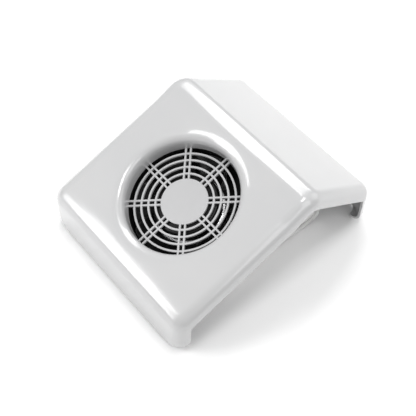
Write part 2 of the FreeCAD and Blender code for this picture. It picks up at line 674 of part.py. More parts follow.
def make_fan_terminals():
    """The block on the fan's side with its two connecting pins."""
    side = "(Dims.fan_side / 2)"
    outer = "0 - %s - Dims.terminal_length" % side
    middle = "(0 - Dims.terminal_depth)"
    block = box((outer, "0 - " + side), ("Dims.terminal_first - 7", "Dims.terminal_second + 7"),
                (middle + " - 5", middle + " + 5"))
    finish_node(fan_seat(block), "terminal_block")
    pins = []
    for y in TERMINAL_Y:
        pin = doc.addObject("Part::Cylinder", "Cylinder")
        bind(pin, Radius="Dims.pin_radius", Height="Dims.terminal_pin")
        pin.Placement = FreeCAD.Placement(Vector(0, 0, 0), FreeCAD.Rotation(Vector(0, 1, 0), -90))
        pin.setExpression("Placement.Base.x", outer)
        pin.setExpression("Placement.Base.y", y)
        pin.setExpression("Placement.Base.z", middle)
        pins.append(pin)
    finish_node(fan_seat(group(*pins)), "terminal_pins")


# ---------------------------------------------------------------- dust bag

def make_collar():
    """The square flange and round spigot that carry the bag."""
    half = "(Dims.fan_side / 2)"
    top = "(0 - Dims.grille_thick - Dims.fan_thick)"
    low = top + " - Dims.collar_flange"
    side = ("0 - " + half, half)
    flange = rounded_uprights(box(side, side, (low, top)), "Dims.fan_corner")
    spigot = cylinder("Dims.collar_radius", "0 - Dims.collar_drop", top)
    holes = [cylinder("Dims.collar_bore", "0 - Dims.collar_drop - 1", top + " + 1")]
    for x in (-1, 1):
        for y in (-1, 1):
            spot = ("%d * Dims.bolt_half" % x, "%d * Dims.bolt_half" % y)
            holes.append(cylinder("Dims.screw_hole", low + " - 1", top + " + 1", *spot))
    finish_node(fan_seat(cut(fuse(flange, spigot), *holes)), "bag_collar")

    elastic = doc.addObject("Part::Torus", "Torus")
    bind(elastic, Radius2="Dims.elastic_radius",
         Radius1="Dims.collar_radius + Dims.bag_mouth_gap + Dims.bag_wall + Dims.elastic_radius")
    elastic.setExpression("Placement.Base.z", "0 - Dims.elastic_depth")
    finish_node(fan_seat(elastic), "bag_elastic")


def bag_volume(inset):
    """The bag's body less an inset: a wedge below and behind the fan, drawn out along X."""
    fan_y, ground = amount(FAN_Y), size("bag_ground_gap")
    corners = [(fan_y + y, ground + z) for y, z, radius in BAG_OUTLINE]
    face = rounded_face(corners, [radius for y, z, radius in BAG_OUTLINE])
    return hump(face, inset, 2 * (size("bag_half_width") - inset), 0)


def fan_cylinder(radius, low, high):
    """A plain cylinder on the fan axis, between two heights from the face of the grille."""
    tilt = FreeCAD.Rotation(Vector(1, 0, 0), size("basin_tilt"))
    solid = Part.makeCylinder(radius, high - low, Vector(0, 0, low))
    solid.Placement = FreeCAD.Placement(Vector(0, amount(FAN_Y), size("ring_height")), tilt)
    return solid


def make_bag():
    """The dust bag as a thin closed solid with its round mouth."""
    wall = size("bag_wall")
    mouth = size("collar_radius") + size("bag_mouth_gap")
    hem_top = amount(FLANGE_UNDERSIDE) - HEM_GAP
    neck_end = -size("collar_drop") - NECK_OVERLAP
    outer = bag_volume(0).fuse(fan_cylinder(mouth + wall, neck_end, hem_top))
    inner = bag_volume(wall).fuse(fan_cylinder(mouth, neck_end - 1, hem_top + 1))
    bag = doc.addObject("Part::Feature", "DustBag")
    bag.Shape = outer.cut(inner)
    finish_node(bag, "dust_bag")


# ---------------------------------------------------------------- fasteners and feet

def make_screws():
    """Four long screws from below the collar into the shell's posts, each with a washer."""
    seat = "(%s - Dims.washer_thick)" % FLANGE_UNDERSIDE
    screws, washers = [], []
    for x in (-1, 1):
        for y in (-1, 1):
            spot = ("%d * Dims.bolt_half" % x, "%d * Dims.bolt_half" % y)
            shank = cylinder("Dims.screw_radius", seat, "Dims.screw_grip", *spot)
            head = cylinder("Dims.head_radius", seat + " - Dims.head_height", seat, *spot)
            slots = []
            for long_x, long_y in ((2.4, 0.5), (0.5, 2.4)):
                across = ("%s - %s" % (spot[0], long_x), "%s + %s" % (spot[0], long_x))
                along = ("%s - %s" % (spot[1], long_y), "%s + %s" % (spot[1], long_y))
                slots.append(box(across, along, (seat + " - Dims.head_height - 1", seat + " - 1.2")))
            screws.append(cut(fuse(shank, head), *slots))
            rim = cylinder("Dims.washer_radius", seat, seat + " + Dims.washer_thick", *spot)
            hole = cylinder("Dims.screw_hole", seat + " - 1", seat + " + 2", *spot)
            washers.append(cut(rim, hole))
    finish_node(fan_seat(group(*screws)), "fan_screws")
    finish_node(fan_seat(group(*washers)), "fan_washers")


def make_feet():
    """Rubber feet, each with a plug in its post."""
    for number, (x, y) in enumerate(FOOT_PLACES, start=1):
        pad = cylinder("Dims.foot_radius", "0", "Dims.edge_clear", x, y)
        plug = cylinder("Dims.foot_plug_radius", "0", "Dims.edge_clear + Dims.foot_plug_length - 0.5", x, y)
        finish_node(fuse(pad, plug), "rubber_foot_%d" % number)


# ---------------------------------------------------------------- switch, inlet and leads

def rod_along_y(radius, low, high, x, z="Dims.panel_z"):
    """A cylinder along Y between two Y expressions."""
    rod = doc.addObject("Part::Cylinder", "Cylinder")
    bind(rod, Radius=radius, Height="(%s) - (%s)" % (high, low))
    rod.Placement = FreeCAD.Placement(Vector(0, 0, 0), FreeCAD.Rotation(Vector(1, 0, 0), -90))
    rod.setExpression("Placement.Base.x", x)
    rod.setExpression("Placement.Base.y", low)
    rod.setExpression("Placement.Base.z", z)
    return rod


def panel_box(centre, half_x, half_z, inner, outer):
    """A box on the back wall: half sizes, and its two faces' distances out from the wall."""
    return box(("%s - %s" % (centre, half_x), "%s + %s" % (centre, half_x)),
               ("%s + %s" % (BACK_Y, inner), "%s + %s" % (BACK_Y, outer)),
               ("Dims.panel_z - %s" % half_z, "Dims.panel_z + %s" % half_z))


def make_switch():
    """Rocker switch: housing, tabs and the rocker, which rests with its left end pressed."""
    x = "Dims.switch_x"
    depth = "(0 - Dims.panel_depth)"
    bezel = panel_box(x, "Dims.bezel_half_x", "Dims.bezel_half_z", "0", "Dims.panel_flange")
    case = panel_box(x, "Dims.switch_half_x", "Dims.switch_half_z", depth, "0.5")
    well = panel_box(x, "Dims.well_half_x", "Dims.well_half_z", "(0 - Dims.well_depth)",
                     "Dims.panel_flange + 1")
    finish_node(cut(fuse(bezel, case), well), "switch_housing")
    tabs = [panel_box("(Dims.switch_x %s Dims.tab_half)" % side, "0.5", "2.4", "(0 - Dims.tab_end)", depth)
            for side in "-+"]
    finish_node(group(*tabs), "switch_tabs")

    # Rocker section in its middle position, then turned about its upright pivot.
    body = new_body("Rocker")
    section = sketch_on(body, "XY_Plane", "Section")
    left, right = "0 - Dims.key_half", "Dims.key_half"
    polygon(section, [(left, "0 - 3.5"), ("0 - 3", "0 - 6"), ("3", "0 - 6"), (right, "0 - 3.5"),
                      (right, "2.45"), ("0", "1.2"), (left, "2.45")])
    feature(body, "Pad", "Key", section, Length="Dims.key_width", Midplane=True)
    body.Placement = FreeCAD.Placement(Vector(0, 0, 0), FreeCAD.Rotation(Vector(0, 0, 1), 10))
    body.setExpression("Placement.Base.x", x)
    body.setExpression("Placement.Base.y", BACK_Y)
    body.setExpression("Placement.Base.z", "Dims.panel_z")
    body.setExpression("Placement.Rotation.Angle", "Dims.rocker_tilt")
    finish_node(body, "switch_rocker")


def make_inlet():
    """Two-pin power inlet screwed into the back wall."""
    x = "Dims.inlet_x"
    flange = panel_box(x, "Dims.flange_half_x", "Dims.flange_half_z", "0", "Dims.panel_flange")
    case = panel_box(x, "Dims.inlet_half_x", "Dims.inlet_half_z", "(0 - Dims.panel_depth)", "0.5")
    front = BACK_Y + " + Dims.panel_flange + 1"
    bridge = panel_box(x, "Dims.pin_half", "2.6", "(0 - Dims.socket_depth)", "Dims.panel_flange + 1")
    holes, pins = [], []
    for side in PIN_SIDES:
        spot = "%s + %s" % (x, side)
        holes.append(rod_along_y("Dims.socket_radius", BACK_Y + " - Dims.socket_depth", front, spot))
        holes.append(rod_along_y("Dims.pin_radius", BACK_Y + " - Dims.panel_depth - 1", BACK_Y, spot))
        pins.append(rod_along_y("Dims.pin_radius", BACK_Y + " - Dims.tab_end", BACK_Y + " - 1", spot))
    for spot in INLET_SCREW_X:
        holes.append(rod_along_y("Dims.inlet_screw_radius + 0.1", BACK_Y + " - 1", front, spot))
    finish_node(cut(fuse(flange, case), bridge, *holes), "inlet_housing")
    finish_node(group(*pins), "inlet_pins")

    screws, nuts = [], []
    for spot in INLET_SCREW_X:
        flange_face = BACK_Y + " + Dims.panel_flange"
        shank = rod_along_y("Dims.inlet_screw_radius", BACK_Y + " - 7", flange_face, spot)
        head = rod_along_y("Dims.inlet_head_radius", flange_face, flange_face + " + 1.6", spot)
        slot = box((spot + " - 2", spot + " + 2"), (flange_face + " + 0.8", flange_face + " + 3"),
                   ("Dims.panel_z - 0.4", "Dims.panel_z + 0.4"))
        screws.append(cut(fuse(shank, head), slot))
        nut = doc.addObject("Part::Prism", "Prism")
        nut.Polygon = 6
        bind(nut, Circumradius="Dims.nut_radius", Height="Dims.nut_thick")
        nut.Placement = FreeCAD.Placement(Vector(0, 0, 0), FreeCAD.Rotation(Vector(1, 0, 0), -90))
        nut.setExpression("Placement.Base.x", spot)
        nut.setExpression("Placement.Base.y", BACK_Y + " - Dims.wall - Dims.nut_thick")
        nut.setExpression("Placement.Base.z", "Dims.panel_z")
        nuts.append(cut(nut, rod_along_y("Dims.inlet_screw_radius", BACK_Y + " - 9", BACK_Y, spot)))
    finish_node(group(*screws), "inlet_screws")
    finish_node(group(*nuts), "inlet_nuts")


def lead(label, points):
    """An insulated lead: straight runs joined by tangent arcs, as one swept tube."""
    points = [Vector(*point) for point in points]
    bend = size("lead_bend")
    edges = []
    start = points[0]
    for before, corner, after in zip(points, points[1:], points[2:]):
        back = (before - corner).normalize()
        ahead = (after - corner).normalize()
        half_angle = back.getAngle(ahead) / 2
        reach = bend / math.tan(half_angle)
        middle = corner + (back + ahead).normalize() * (bend / math.sin(half_angle) - bend)
        edges.append(Part.makeLine(start, corner + back * reach))
        edges.append(Part.Arc(corner + back * reach, middle, corner + ahead * reach).toShape())
        start = corner + ahead * reach
    edges.append(Part.makeLine(start, points[-1]))
    path = Part.Wire(edges)
    radius = size("lead_radius")
    section = Part.Wire(Part.makeCircle(radius, points[0], points[1] - points[0]))
    tube = path.makePipeShell([section], True, False)
    wanted = math.pi * radius ** 2 * path.Length
    if abs(tube.Volume / wanted - 1) > 0.02:
        raise RuntimeError("%s has the wrong volume" % label)
    made = doc.addObject("Part::Feature", label)
    made.Shape = tube
    finish_node(made, label)


def make_leads():
    """Inlet to switch, switch to fan, and inlet to fan, along the left end of the shell."""
    z = size("panel_z")
    start_y = amount(BACK_Y) - size("tab_end")
    pin_left, pin_right = size("inlet_x") - size("pin_half"), size("inlet_x") + size("pin_half")
    tab_left, tab_right = size("switch_x") - size("tab_half"), size("switch_x") + size("tab_half")
    turn_y = start_y - 9
    lead("live_lead", [(pin_right, start_y, z), (pin_right, turn_y, z), (tab_left, turn_y, z),
                       (tab_left, start_y, z)])
    (far_y, far_z), (near_y, near_z) = [terminal_point(y) for y in TERMINAL_Y]
    tip = -size("fan_side") / 2 - size("terminal_length") - size("terminal_pin")
    lead("switched_lead", [(tab_right, start_y, z), (tab_right, turn_y - 2, z), (tab_right, turn_y - 2, 9),
                           (-80, turn_y - 2, 9), (-85, turn_y - 6, 44), (-85, 40, 57), (-84, far_y, far_z),
                           (tip, far_y, far_z)])
    lead("neutral_lead", [(pin_left, start_y, z), (pin_left, turn_y, z), (-79, turn_y - 4, 34), (-80, 78, 50),
                          (-80, 40, 62), (-79, near_y, near_z), (tip, near_y, near_z)])


def terminal_point(along):
    """Y and Z of a fan terminal pin."""
    y, z = basin_point(along, "0 - Dims.terminal_depth")
    return amount(y), amount(z)


make_shell()
make_grille()
make_fan_frame()
make_bearings()
make_stator()
make_rotor()
make_fan_terminals()
make_collar()
make_bag()
make_screws()
make_feet()
make_switch()
make_inlet()
make_leads()
doc.recompute()

# ---------------------------------------------------------------- checks and output

for item in doc.Objects:
    if "Invalid" in item.State or "Error" in item.State:
        raise RuntimeError("%s (%s) did not compute: %s" % (item.Name, item.Label, item.State))
for node in nodes:
    if node.Shape.isNull() or not node.Shape.isValid() or not node.Shape.Solids:
        raise RuntimeError("%s has no valid solid" % node.Label)

os.makedirs("parts", exist_ok=True)
for node in nodes:
    node.Shape.exportStep("parts/%s.step" % node.Label)
    print("%-16s %2d solid(s) %10.1f mm3" % (node.Label, len(node.Shape.Solids), node.Shape.Volume))
print("%d nodes" % len(nodes))
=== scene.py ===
import json
import math

import bmesh
import bpy
import numpy as np
from mathutils import Matrix, Vector
from mathutils.bvhtree import BVHTree


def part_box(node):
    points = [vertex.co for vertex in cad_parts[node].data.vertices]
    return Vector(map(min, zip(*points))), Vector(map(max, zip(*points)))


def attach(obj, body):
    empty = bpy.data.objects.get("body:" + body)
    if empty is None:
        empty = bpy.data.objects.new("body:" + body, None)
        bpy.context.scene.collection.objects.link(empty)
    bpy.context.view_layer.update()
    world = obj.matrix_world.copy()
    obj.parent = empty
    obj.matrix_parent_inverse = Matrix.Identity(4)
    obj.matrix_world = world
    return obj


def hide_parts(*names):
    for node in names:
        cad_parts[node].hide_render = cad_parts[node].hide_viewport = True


# Nail dust collector. Lengths are in metres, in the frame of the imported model:
# X along the open ends of the shell, Y from the low front to the high back, Z up from the table.

MM = 0.001

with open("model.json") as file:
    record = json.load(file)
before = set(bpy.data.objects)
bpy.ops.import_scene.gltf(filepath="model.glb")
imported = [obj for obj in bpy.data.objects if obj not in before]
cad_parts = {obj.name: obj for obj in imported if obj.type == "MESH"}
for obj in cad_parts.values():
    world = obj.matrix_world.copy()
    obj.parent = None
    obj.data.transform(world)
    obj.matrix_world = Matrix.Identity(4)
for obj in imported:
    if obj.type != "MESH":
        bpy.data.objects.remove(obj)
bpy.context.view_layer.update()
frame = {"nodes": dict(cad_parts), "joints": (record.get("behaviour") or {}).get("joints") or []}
nodes = frame["nodes"]
joints = {joint["name"]: joint for joint in frame["joints"]}

# ---------------------------------------------------------------- places read from the frame

FAN_CENTRE = np.array(joints["fan_spin"]["pos_m"])
FAN_AXIS = np.array(joints["fan_spin"]["axis"])
FAN_AXIS = FAN_AXIS / np.linalg.norm(FAN_AXIS)
ALONG = np.array([0.0, FAN_AXIS[2], -FAN_AXIS[1]])
ACROSS = np.array([1.0, 0.0, 0.0])
FAN_MATRIX = Matrix(np.column_stack([ACROSS, ALONG, FAN_AXIS]).tolist()).to_4x4()
FAN_MATRIX.translation = Vector(FAN_CENTRE)
BACK_Y = joints["rocker_press"]["pos_m"][1]
PANEL_Z = joints["rocker_press"]["pos_m"][2]
SHELL_LOW, SHELL_HIGH = (np.array(corner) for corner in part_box("top_shell"))
HALF_WIDTH = SHELL_HIGH[0]


def fan_point(across, along, above):
    """A point given on the fan's own axes: across, along the basin, and above the grille's face."""
    return FAN_CENTRE + across * ACROSS + along * ALONG + above * FAN_AXIS


def fan_polar(radius, angle, height):
    """A point round the fan axis: radius and height above the grille's face in millimetres."""
    return fan_point(radius * MM * math.cos(angle), radius * MM * math.sin(angle), height * MM)


def fan_coordinates(point):
    """Distance of a point from the fan axis, and its height above the grille's face."""
    offset = np.array(point) - FAN_CENTRE
    above = offset @ FAN_AXIS
    return np.linalg.norm(offset - above * FAN_AXIS), above


# ---------------------------------------------------------------- shader nodes

class Value:
    """A shader socket that takes part in plain arithmetic: each operator adds a Math node."""

    def __init__(self, made, socket):
        self.made = made
        self.socket = socket

    def _math(self, operation, *values):
        return self.made.node("ShaderNodeMath", {"operation": operation}, *values)

    def __add__(self, other):
        return self._math("ADD", self, other)

    def __radd__(self, other):
        return self._math("ADD", other, self)

    def __sub__(self, other):
        return self._math("SUBTRACT", self, other)

    def __rsub__(self, other):
        return self._math("SUBTRACT", other, self)

    def __mul__(self, other):
        return self._math("MULTIPLY", self, other)

    def __rmul__(self, other):
        return self._math("MULTIPLY", other, self)

    def smooth(self, low, high):
        """0 below low, 1 above high, and a smooth step between them."""
        settings = {"interpolation_type": "SMOOTHSTEP"}
        return self.made.node("ShaderNodeMapRange", settings, self, low, high, 0.0, 1.0)


class Finish:
    """One material: its nodes are added by node(), and its surface is a Principled shader."""

    def __init__(self, name):
        self.material = bpy.data.materials.new(name)
        self.material.use_nodes = True
        self.tree = self.material.node_tree
        self.tree.nodes.clear()
        self.surface = self.tree.nodes.new("ShaderNodeBsdfPrincipled")
        output = self.tree.nodes.new("ShaderNodeOutputMaterial")
        self.tree.links.new(self.surface.outputs[0], output.inputs[0])
        place = self.tree.nodes.new("ShaderNodeTexCoord")
        self.place = Value(self, place.outputs["Object"])

    def node(self, kind, settings, *values, output=0, **named):
        """Add a node: settings first, then its sockets by order or by name."""
        made = self.tree.nodes.new(kind)
        for key, setting in settings.items():
            setattr(made, key, setting)
        for key, value in list(enumerate(values)) + list(named.items()):
            self.put(made.inputs[key], value)
        return Value(self, made.outputs[output])

    def put(self, socket, value):
        """Link a value to a socket, or set the socket to a constant; None leaves it alone."""
        if isinstance(value, Value):
            self.tree.links.new(value.socket, socket)
        elif value is not None:
            socket.default_value = value

    def noise(self, scale, detail=3.0, roughness=0.55, place=None):
        place = place or self.place
        return self.node("ShaderNodeTexNoise", {}, place, None, scale, detail, roughness, output="Fac")

    def mix_colour(self, factor, first, second):
        """The colour form of Mix: its factor is input 0, and its two colours are inputs 6 and 7."""
        unused = [None] * 5
        return self.node("ShaderNodeMix", {"data_type": "RGBA"}, factor, *unused, first, second, output=2)

    def bump(self, height, strength, distance):
        return self.node("ShaderNodeBump", {}, Strength=strength, Distance=distance, Height=height)

    def set(self, **sockets):
        """Set or drive the Principled shader's own sockets; an underscore stands for a space."""
        for key, value in sockets.items():
            self.put(self.surface.inputs[key.replace("_", " ")], value)
        return self.material


def grey(level):
    return (level, level, level, 1.0)


def moulded_plastic(name, colour, roughness, grain=0.0, coat=0.0, tone=0.04, ior=1.5):
    """Injection-moulded plastic: faint flow tone, uneven gloss and a fine moulded grain."""
    finish = Finish(name)
    flow = finish.noise(18.0, 4.0)
    fine = finish.noise(900.0, 2.0)
    dull = tuple(part * (1 - tone) for part in colour[:3]) + (1.0,)
    finish.set(
        Base_Color=finish.mix_colour(flow.smooth(0.35, 0.7), dull, colour),
        Roughness=roughness + 0.05 * (flow - 0.5) + 0.06 * (fine - 0.5),
        Coat_Weight=coat,
        Coat_Roughness=0.08,
        Normal=finish.bump(finish.noise(140.0, 2.0) * 0.6 + fine * (0.4 + grain), 0.12 + grain, 0.00006),
    )
    finish.surface.inputs["IOR"].default_value = ior
    return finish.material


def machined_metal(name, colour, roughness, scale=600.0, stretch=(1.0, 1.0, 12.0)):
    """Drawn, turned or rolled metal: fine scratches along one direction over a soft tarnish."""
    finish = Finish(name)
    lined = finish.node("ShaderNodeMapping", {}, finish.place, None, None, stretch)
    scratch = finish.noise(scale, 5.0, 0.7, place=lined)
    tarnish = finish.noise(40.0, 3.0)
    dark = tuple(part * 0.72 for part in colour[:3]) + (1.0,)
    return finish.set(
        Base_Color=finish.mix_colour(tarnish.smooth(0.4, 0.75), colour, dark),
        Metallic=1.0,
        Roughness=roughness + 0.18 * (scratch - 0.5) + 0.1 * (tarnish - 0.5),
        Normal=finish.bump(scratch, 0.25, 0.00004),
    )


def shell_finish():
    """Pale ABS of the shell: a clear gloss over a softer body, with a slow ripple from the mould."""
    finish = Finish("shell_abs")
    flow = finish.noise(9.0, 3.0)
    ripple = finish.noise(55.0, 2.0)
    fine = finish.noise(1400.0, 2.0)
    cool, plain = (0.487, 0.489, 0.494, 1), (0.503, 0.503, 0.505, 1)
    return finish.set(
        Base_Color=finish.mix_colour(flow.smooth(0.3, 0.75), cool, plain),
        Roughness=0.30 + 0.05 * (flow - 0.5) + 0.04 * (fine - 0.5),
        Coat_Weight=1.0,
        Coat_Roughness=0.13,
        Coat_IOR=1.7,
        IOR=1.5,
        Normal=finish.bump(ripple + fine * 0.15, 0.10, 0.00012),
    )


def leads_finish(name, colour):
    """PVC insulation: soft sheen and the slight ripple of the strands beneath, with painted shade in the
    ripple's low places.
    """
    finish = Finish(name)
    ripple = finish.noise(700.0, 2.0)
    dull = tuple(part * 0.8 for part in colour[:3]) + (1.0,)
    return finish.set(
        # Painted shade: where the ripple is low, the colour turns darker.
        Base_Color=finish.mix_colour(ripple.smooth(0.3, 0.7), dull, colour),
        Roughness=0.42 + 0.1 * (ripple - 0.5),
        Normal=finish.bump(ripple, 0.3, 0.0001),
    )


# ---------------------------------------------------------------- mesh helpers

def make_mesh(name, points, faces, smooth=True):
    """A mesh object in the scene from points in metres and faces as index lists."""
    mesh = bpy.data.meshes.new(name)
    mesh.from_pydata([tuple(point) for point in points], [], [list(face) for face in faces])
    mesh.validate()
    mesh.update()
    made = bpy.data.objects.new(name, mesh)
    bpy.context.scene.collection.objects.link(made)
    if smooth:
        shade_smooth(made)
    return made


def shade_smooth(piece):
    piece.data.polygons.foreach_set("use_smooth", [True] * len(piece.data.polygons))


def ring_faces(rounds, count, first=0):
    """Faces between neighbouring columns of points that stand in a closed ring, count points in each."""
    faces = []
    for k in range(rounds):
        here, there = first + k * count, first + (k + 1) % rounds * count
        for m in range(count - 1):
            faces.append([here + m, there + m, there + m + 1, here + m + 1])
    return faces


def close_mesh(piece, merge=False):
    """Turn all faces outwards, and with merge join the points that lie on each other."""
    edit = bmesh.new()
    edit.from_mesh(piece.data)
    if merge:
        bmesh.ops.remove_doubles(edit, verts=edit.verts, dist=1e-6)
    bmesh.ops.recalc_face_normals(edit, faces=edit.faces)
    edit.to_mesh(piece.data)
    edit.free()
    return piece


def apply_modifiers(piece):
    """Turn a piece's modifiers into its own mesh."""
    depsgraph = bpy.context.evaluated_depsgraph_get()
    mesh = bpy.data.meshes.new_from_object(piece.evaluated_get(depsgraph))
    piece.modifiers.clear()
    old = piece.data
    piece.data = mesh
    bpy.data.meshes.remove(old)


def add_modifier(piece, kind, **settings):
    """Add a modifier with its settings, and give it back."""
    made = piece.modifiers.new(kind.lower(), kind)
    for key, value in settings.items():
        setattr(made, key, value)
    return made


def cut_out(piece, tool):
    """Cut a closed tool mesh out of a piece, and remove the tool."""
    add_modifier(piece, "BOOLEAN", object=tool, operation="DIFFERENCE", solver="EXACT")
    apply_modifiers(piece)
    bpy.data.objects.remove(tool)


def box_tool(low, high):
    """A plain box that is only used to cut."""
    corners = [(x, y, z) for x in (low[0], high[0]) for y in (low[1], high[1]) for z in (low[2], high[2])]
    faces = [(0, 1, 3, 2), (4, 6, 7, 5), (0, 4, 5, 1), (2, 3, 7, 6), (0, 2, 6, 4), (1, 5, 7, 3)]
    return make_mesh("box_tool", corners, faces, smooth=False)


def round_tool(ends):
    """A closed drum that is only used to cut, from its two rings of points, one after the other."""
    sides = len(ends) // 2
    walls = [(k, (k + 1) % sides, sides + (k + 1) % sides, sides + k) for k in range(sides)]
    caps = [tuple(range(sides))[::-1], tuple(range(sides, 2 * sides))]
    return make_mesh("round_tool", ends, walls + caps, smooth=False)


def finish_piece(piece, material, body, replaced):
    """Give a new piece its finish, its body and the node that it stands for."""
    piece.data.materials.clear()
    piece.data.materials.append(material)
    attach(piece, body)
    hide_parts(replaced)


# ---------------------------------------------------------------- shell

BASIN_RISE = 17.6 * MM
FRONT_CORNER = (-88.0 * MM, BASIN_RISE - 0.4 * MM)
CREST_FOOT = (50.0 * MM, BASIN_RISE)
CREST = (85.4 * MM, BASIN_RISE + 3.5 * MM)
BACK_CORNER_Z = 47.1 * MM
FRONT_RADIUS, FOOT_RADIUS, CREST_RADIUS, BACK_RADIUS = 16.5 * MM, 60.0 * MM, 23.0 * MM, 15.0 * MM
LIP_RADIUS = 13.4 * MM
SHEET_CORNER = 13.0 * MM
EDGE_CLEAR = 1.2 * MM
WALL = 2.5 * MM
THROAT_RADIUS, THROAT_WALL, FLARE_WIDTH = 58.3 * MM, 5.0 * MM, 15.5 * MM
FLARE_TIGHTNESS = 3.4
REST_ALONG, REST_WIDTH, REST_HEIGHT = -72.0 * MM, 13.0 * MM, 0.5 * MM
PATCH_HALF_X, PATCH_HALF_Y = 84.0 * MM, 77.0 * MM
WALL_STEP, SIDE_STEP, PATCH_STEP = 1.6 * MM, 3.0 * MM, 3.2 * MM
EDGE_SOFTENING = 0.55 * MM
SWITCH_HOLE_HALVES, INLET_HOLE_HALVES = (9.6 * MM, 6.6 * MM), (9.2 * MM, 5.7 * MM)
CUT_INSIDE, CUT_OUTSIDE = 5.0 * MM, 2.0 * MM


def sampled_outline(corners, radii, step=0.4 * MM):
    """Points and outward normals along a polyline whose inner corners are rounded."""
    points, normals = [], []

    def walk(start, end):
        direction = (end - start) / np.linalg.norm(end - start)
        count = max(2, int(np.linalg.norm(end - start) / step))
        for share in np.linspace(0, 1, count):
            points.append(start + (end - start) * share)
            normals.append(np.array([-direction[1], direction[0]]))

    corners = [np.array(corner, float) for corner in corners]
    here = corners[0]
    for before, corner, after, radius in zip(corners, corners[1:], corners[2:], radii):
        u = (corner - before) / np.linalg.norm(corner - before)
        v = (after - corner) / np.linalg.norm(after - corner)
        turn = math.atan2(u[0] * v[1] - u[1] * v[0], u @ v)
        reach = radius * abs(math.tan(turn / 2))
        walk(here, corner - u * reach)
        side = math.copysign(1, turn)
        centre = corner - u * reach + side * radius * np.array([-u[1], u[0]])
        for share in np.linspace(0, 1, max(4, int(radius * abs(turn) / step))):
            angle = turn * share
            along = np.array([u[0] * math.cos(angle) - u[1] * math.sin(angle),
                              u[0] * math.sin(angle) + u[1] * math.cos(angle)])
            normal = np.array([-along[1], along[0]])
            points.append(centre - side * radius * normal)
            normals.append(normal)
        here = corner + v * reach
    walk(here, corners[-1])
    return np.array(points), np.array(normals)


class Sheet:
    """The outer face of the shell's bent sheet, as a function of X and of the way along its profile."""

    def __init__(self):
        floor = EDGE_CLEAR
        front, back = SHELL_LOW[1], BACK_Y
        flat = [tuple(fan_point(0, *place)[1:]) for place in (FRONT_CORNER, CREST_FOOT, CREST)]
        corners = [(front, floor)] + flat + [(back, BACK_CORNER_Z), (back, floor)]
        points, normals = sampled_outline(corners, [FRONT_RADIUS, FOOT_RADIUS, CREST_RADIUS, BACK_RADIUS])
        steps = np.linalg.norm(np.diff(points, axis=0), axis=1)
        keep = np.r_[True, steps > 1e-9]
        points, normals = points[keep], normals[keep]
        self.way = np.r_[0, np.cumsum(np.linalg.norm(np.diff(points, axis=0), axis=1))]
        self.length = self.way[-1]
        self.points, self.normals = points, normals
        offset = points - FAN_CENTRE[1:]
        self.along = offset @ ALONG[1:]
        self.above = offset @ FAN_AXIS[1:]

    def way_at(self, along):
        """The way along the profile where the basin is that far along from the fan axis."""
        basin = (self.above > 0) & (np.abs(self.along) < 86 * MM)
        return np.interp(along, self.along[basin], self.way[basin])

    def half_width(self, way):
        """Half the sheet's width there: less at the rounded lower corners of the walls."""
        edge = np.minimum(way, self.length - way)
        inside = np.maximum(SHEET_CORNER ** 2 - (SHEET_CORNER - np.minimum(edge, SHEET_CORNER)) ** 2, 0)
        return HALF_WIDTH - SHEET_CORNER + np.sqrt(inside)

    def at(self, x, way):
        """Points for arrays of X and of the way along the profile."""
        x, way = np.broadcast_arrays(x, way)
        point = np.stack([np.interp(way, self.way, self.points[:, i]) for i in (0, 1)], -1)
        normal = np.stack([np.interp(way, self.way, self.normals[:, i]) for i in (0, 1)], -1)
        normal /= np.linalg.norm(normal, axis=-1, keepdims=True)
        along = np.interp(way, self.way, self.along)
        half = self.half_width(way)
        into = np.clip(np.abs(x) - (half - LIP_RADIUS), 0, LIP_RADIUS)
        drop = LIP_RADIUS - np.sqrt(LIP_RADIUS ** 2 - into ** 2)
        fade = 1 - np.minimum(np.abs(x) / HALF_WIDTH, 1) ** 4
        rest = REST_HEIGHT * fade * np.exp(-((along - REST_ALONG) / REST_WIDTH) ** 2)
        shift = (rest - drop)[..., None]
        return np.concatenate([x[..., None], point + normal * shift], -1)


def spaced(low, high, step):
    """Evenly spaced values from low to high, both included."""
    return np.linspace(low, high, max(2, int(round((high - low) / step)) + 1))


def sheet_rows(sheet):
    """Ways along the profile: close at the rounded corners, and on the patch's own limits."""
    corner = SHEET_CORNER * (1 - np.cos(np.linspace(0, math.pi / 2, 9)))
    low, high = sheet.way_at(-PATCH_HALF_Y), sheet.way_at(PATCH_HALF_Y)
    start, end = SHEET_CORNER, sheet.length - SHEET_CORNER
    parts = [corner[:-1], spaced(start, low, WALL_STEP), spaced(low, high, PATCH_STEP)[1:],
             spaced(high, end, WALL_STEP)[1:], (sheet.length - corner)[::-1][1:]]
    return np.concatenate(parts), low, high


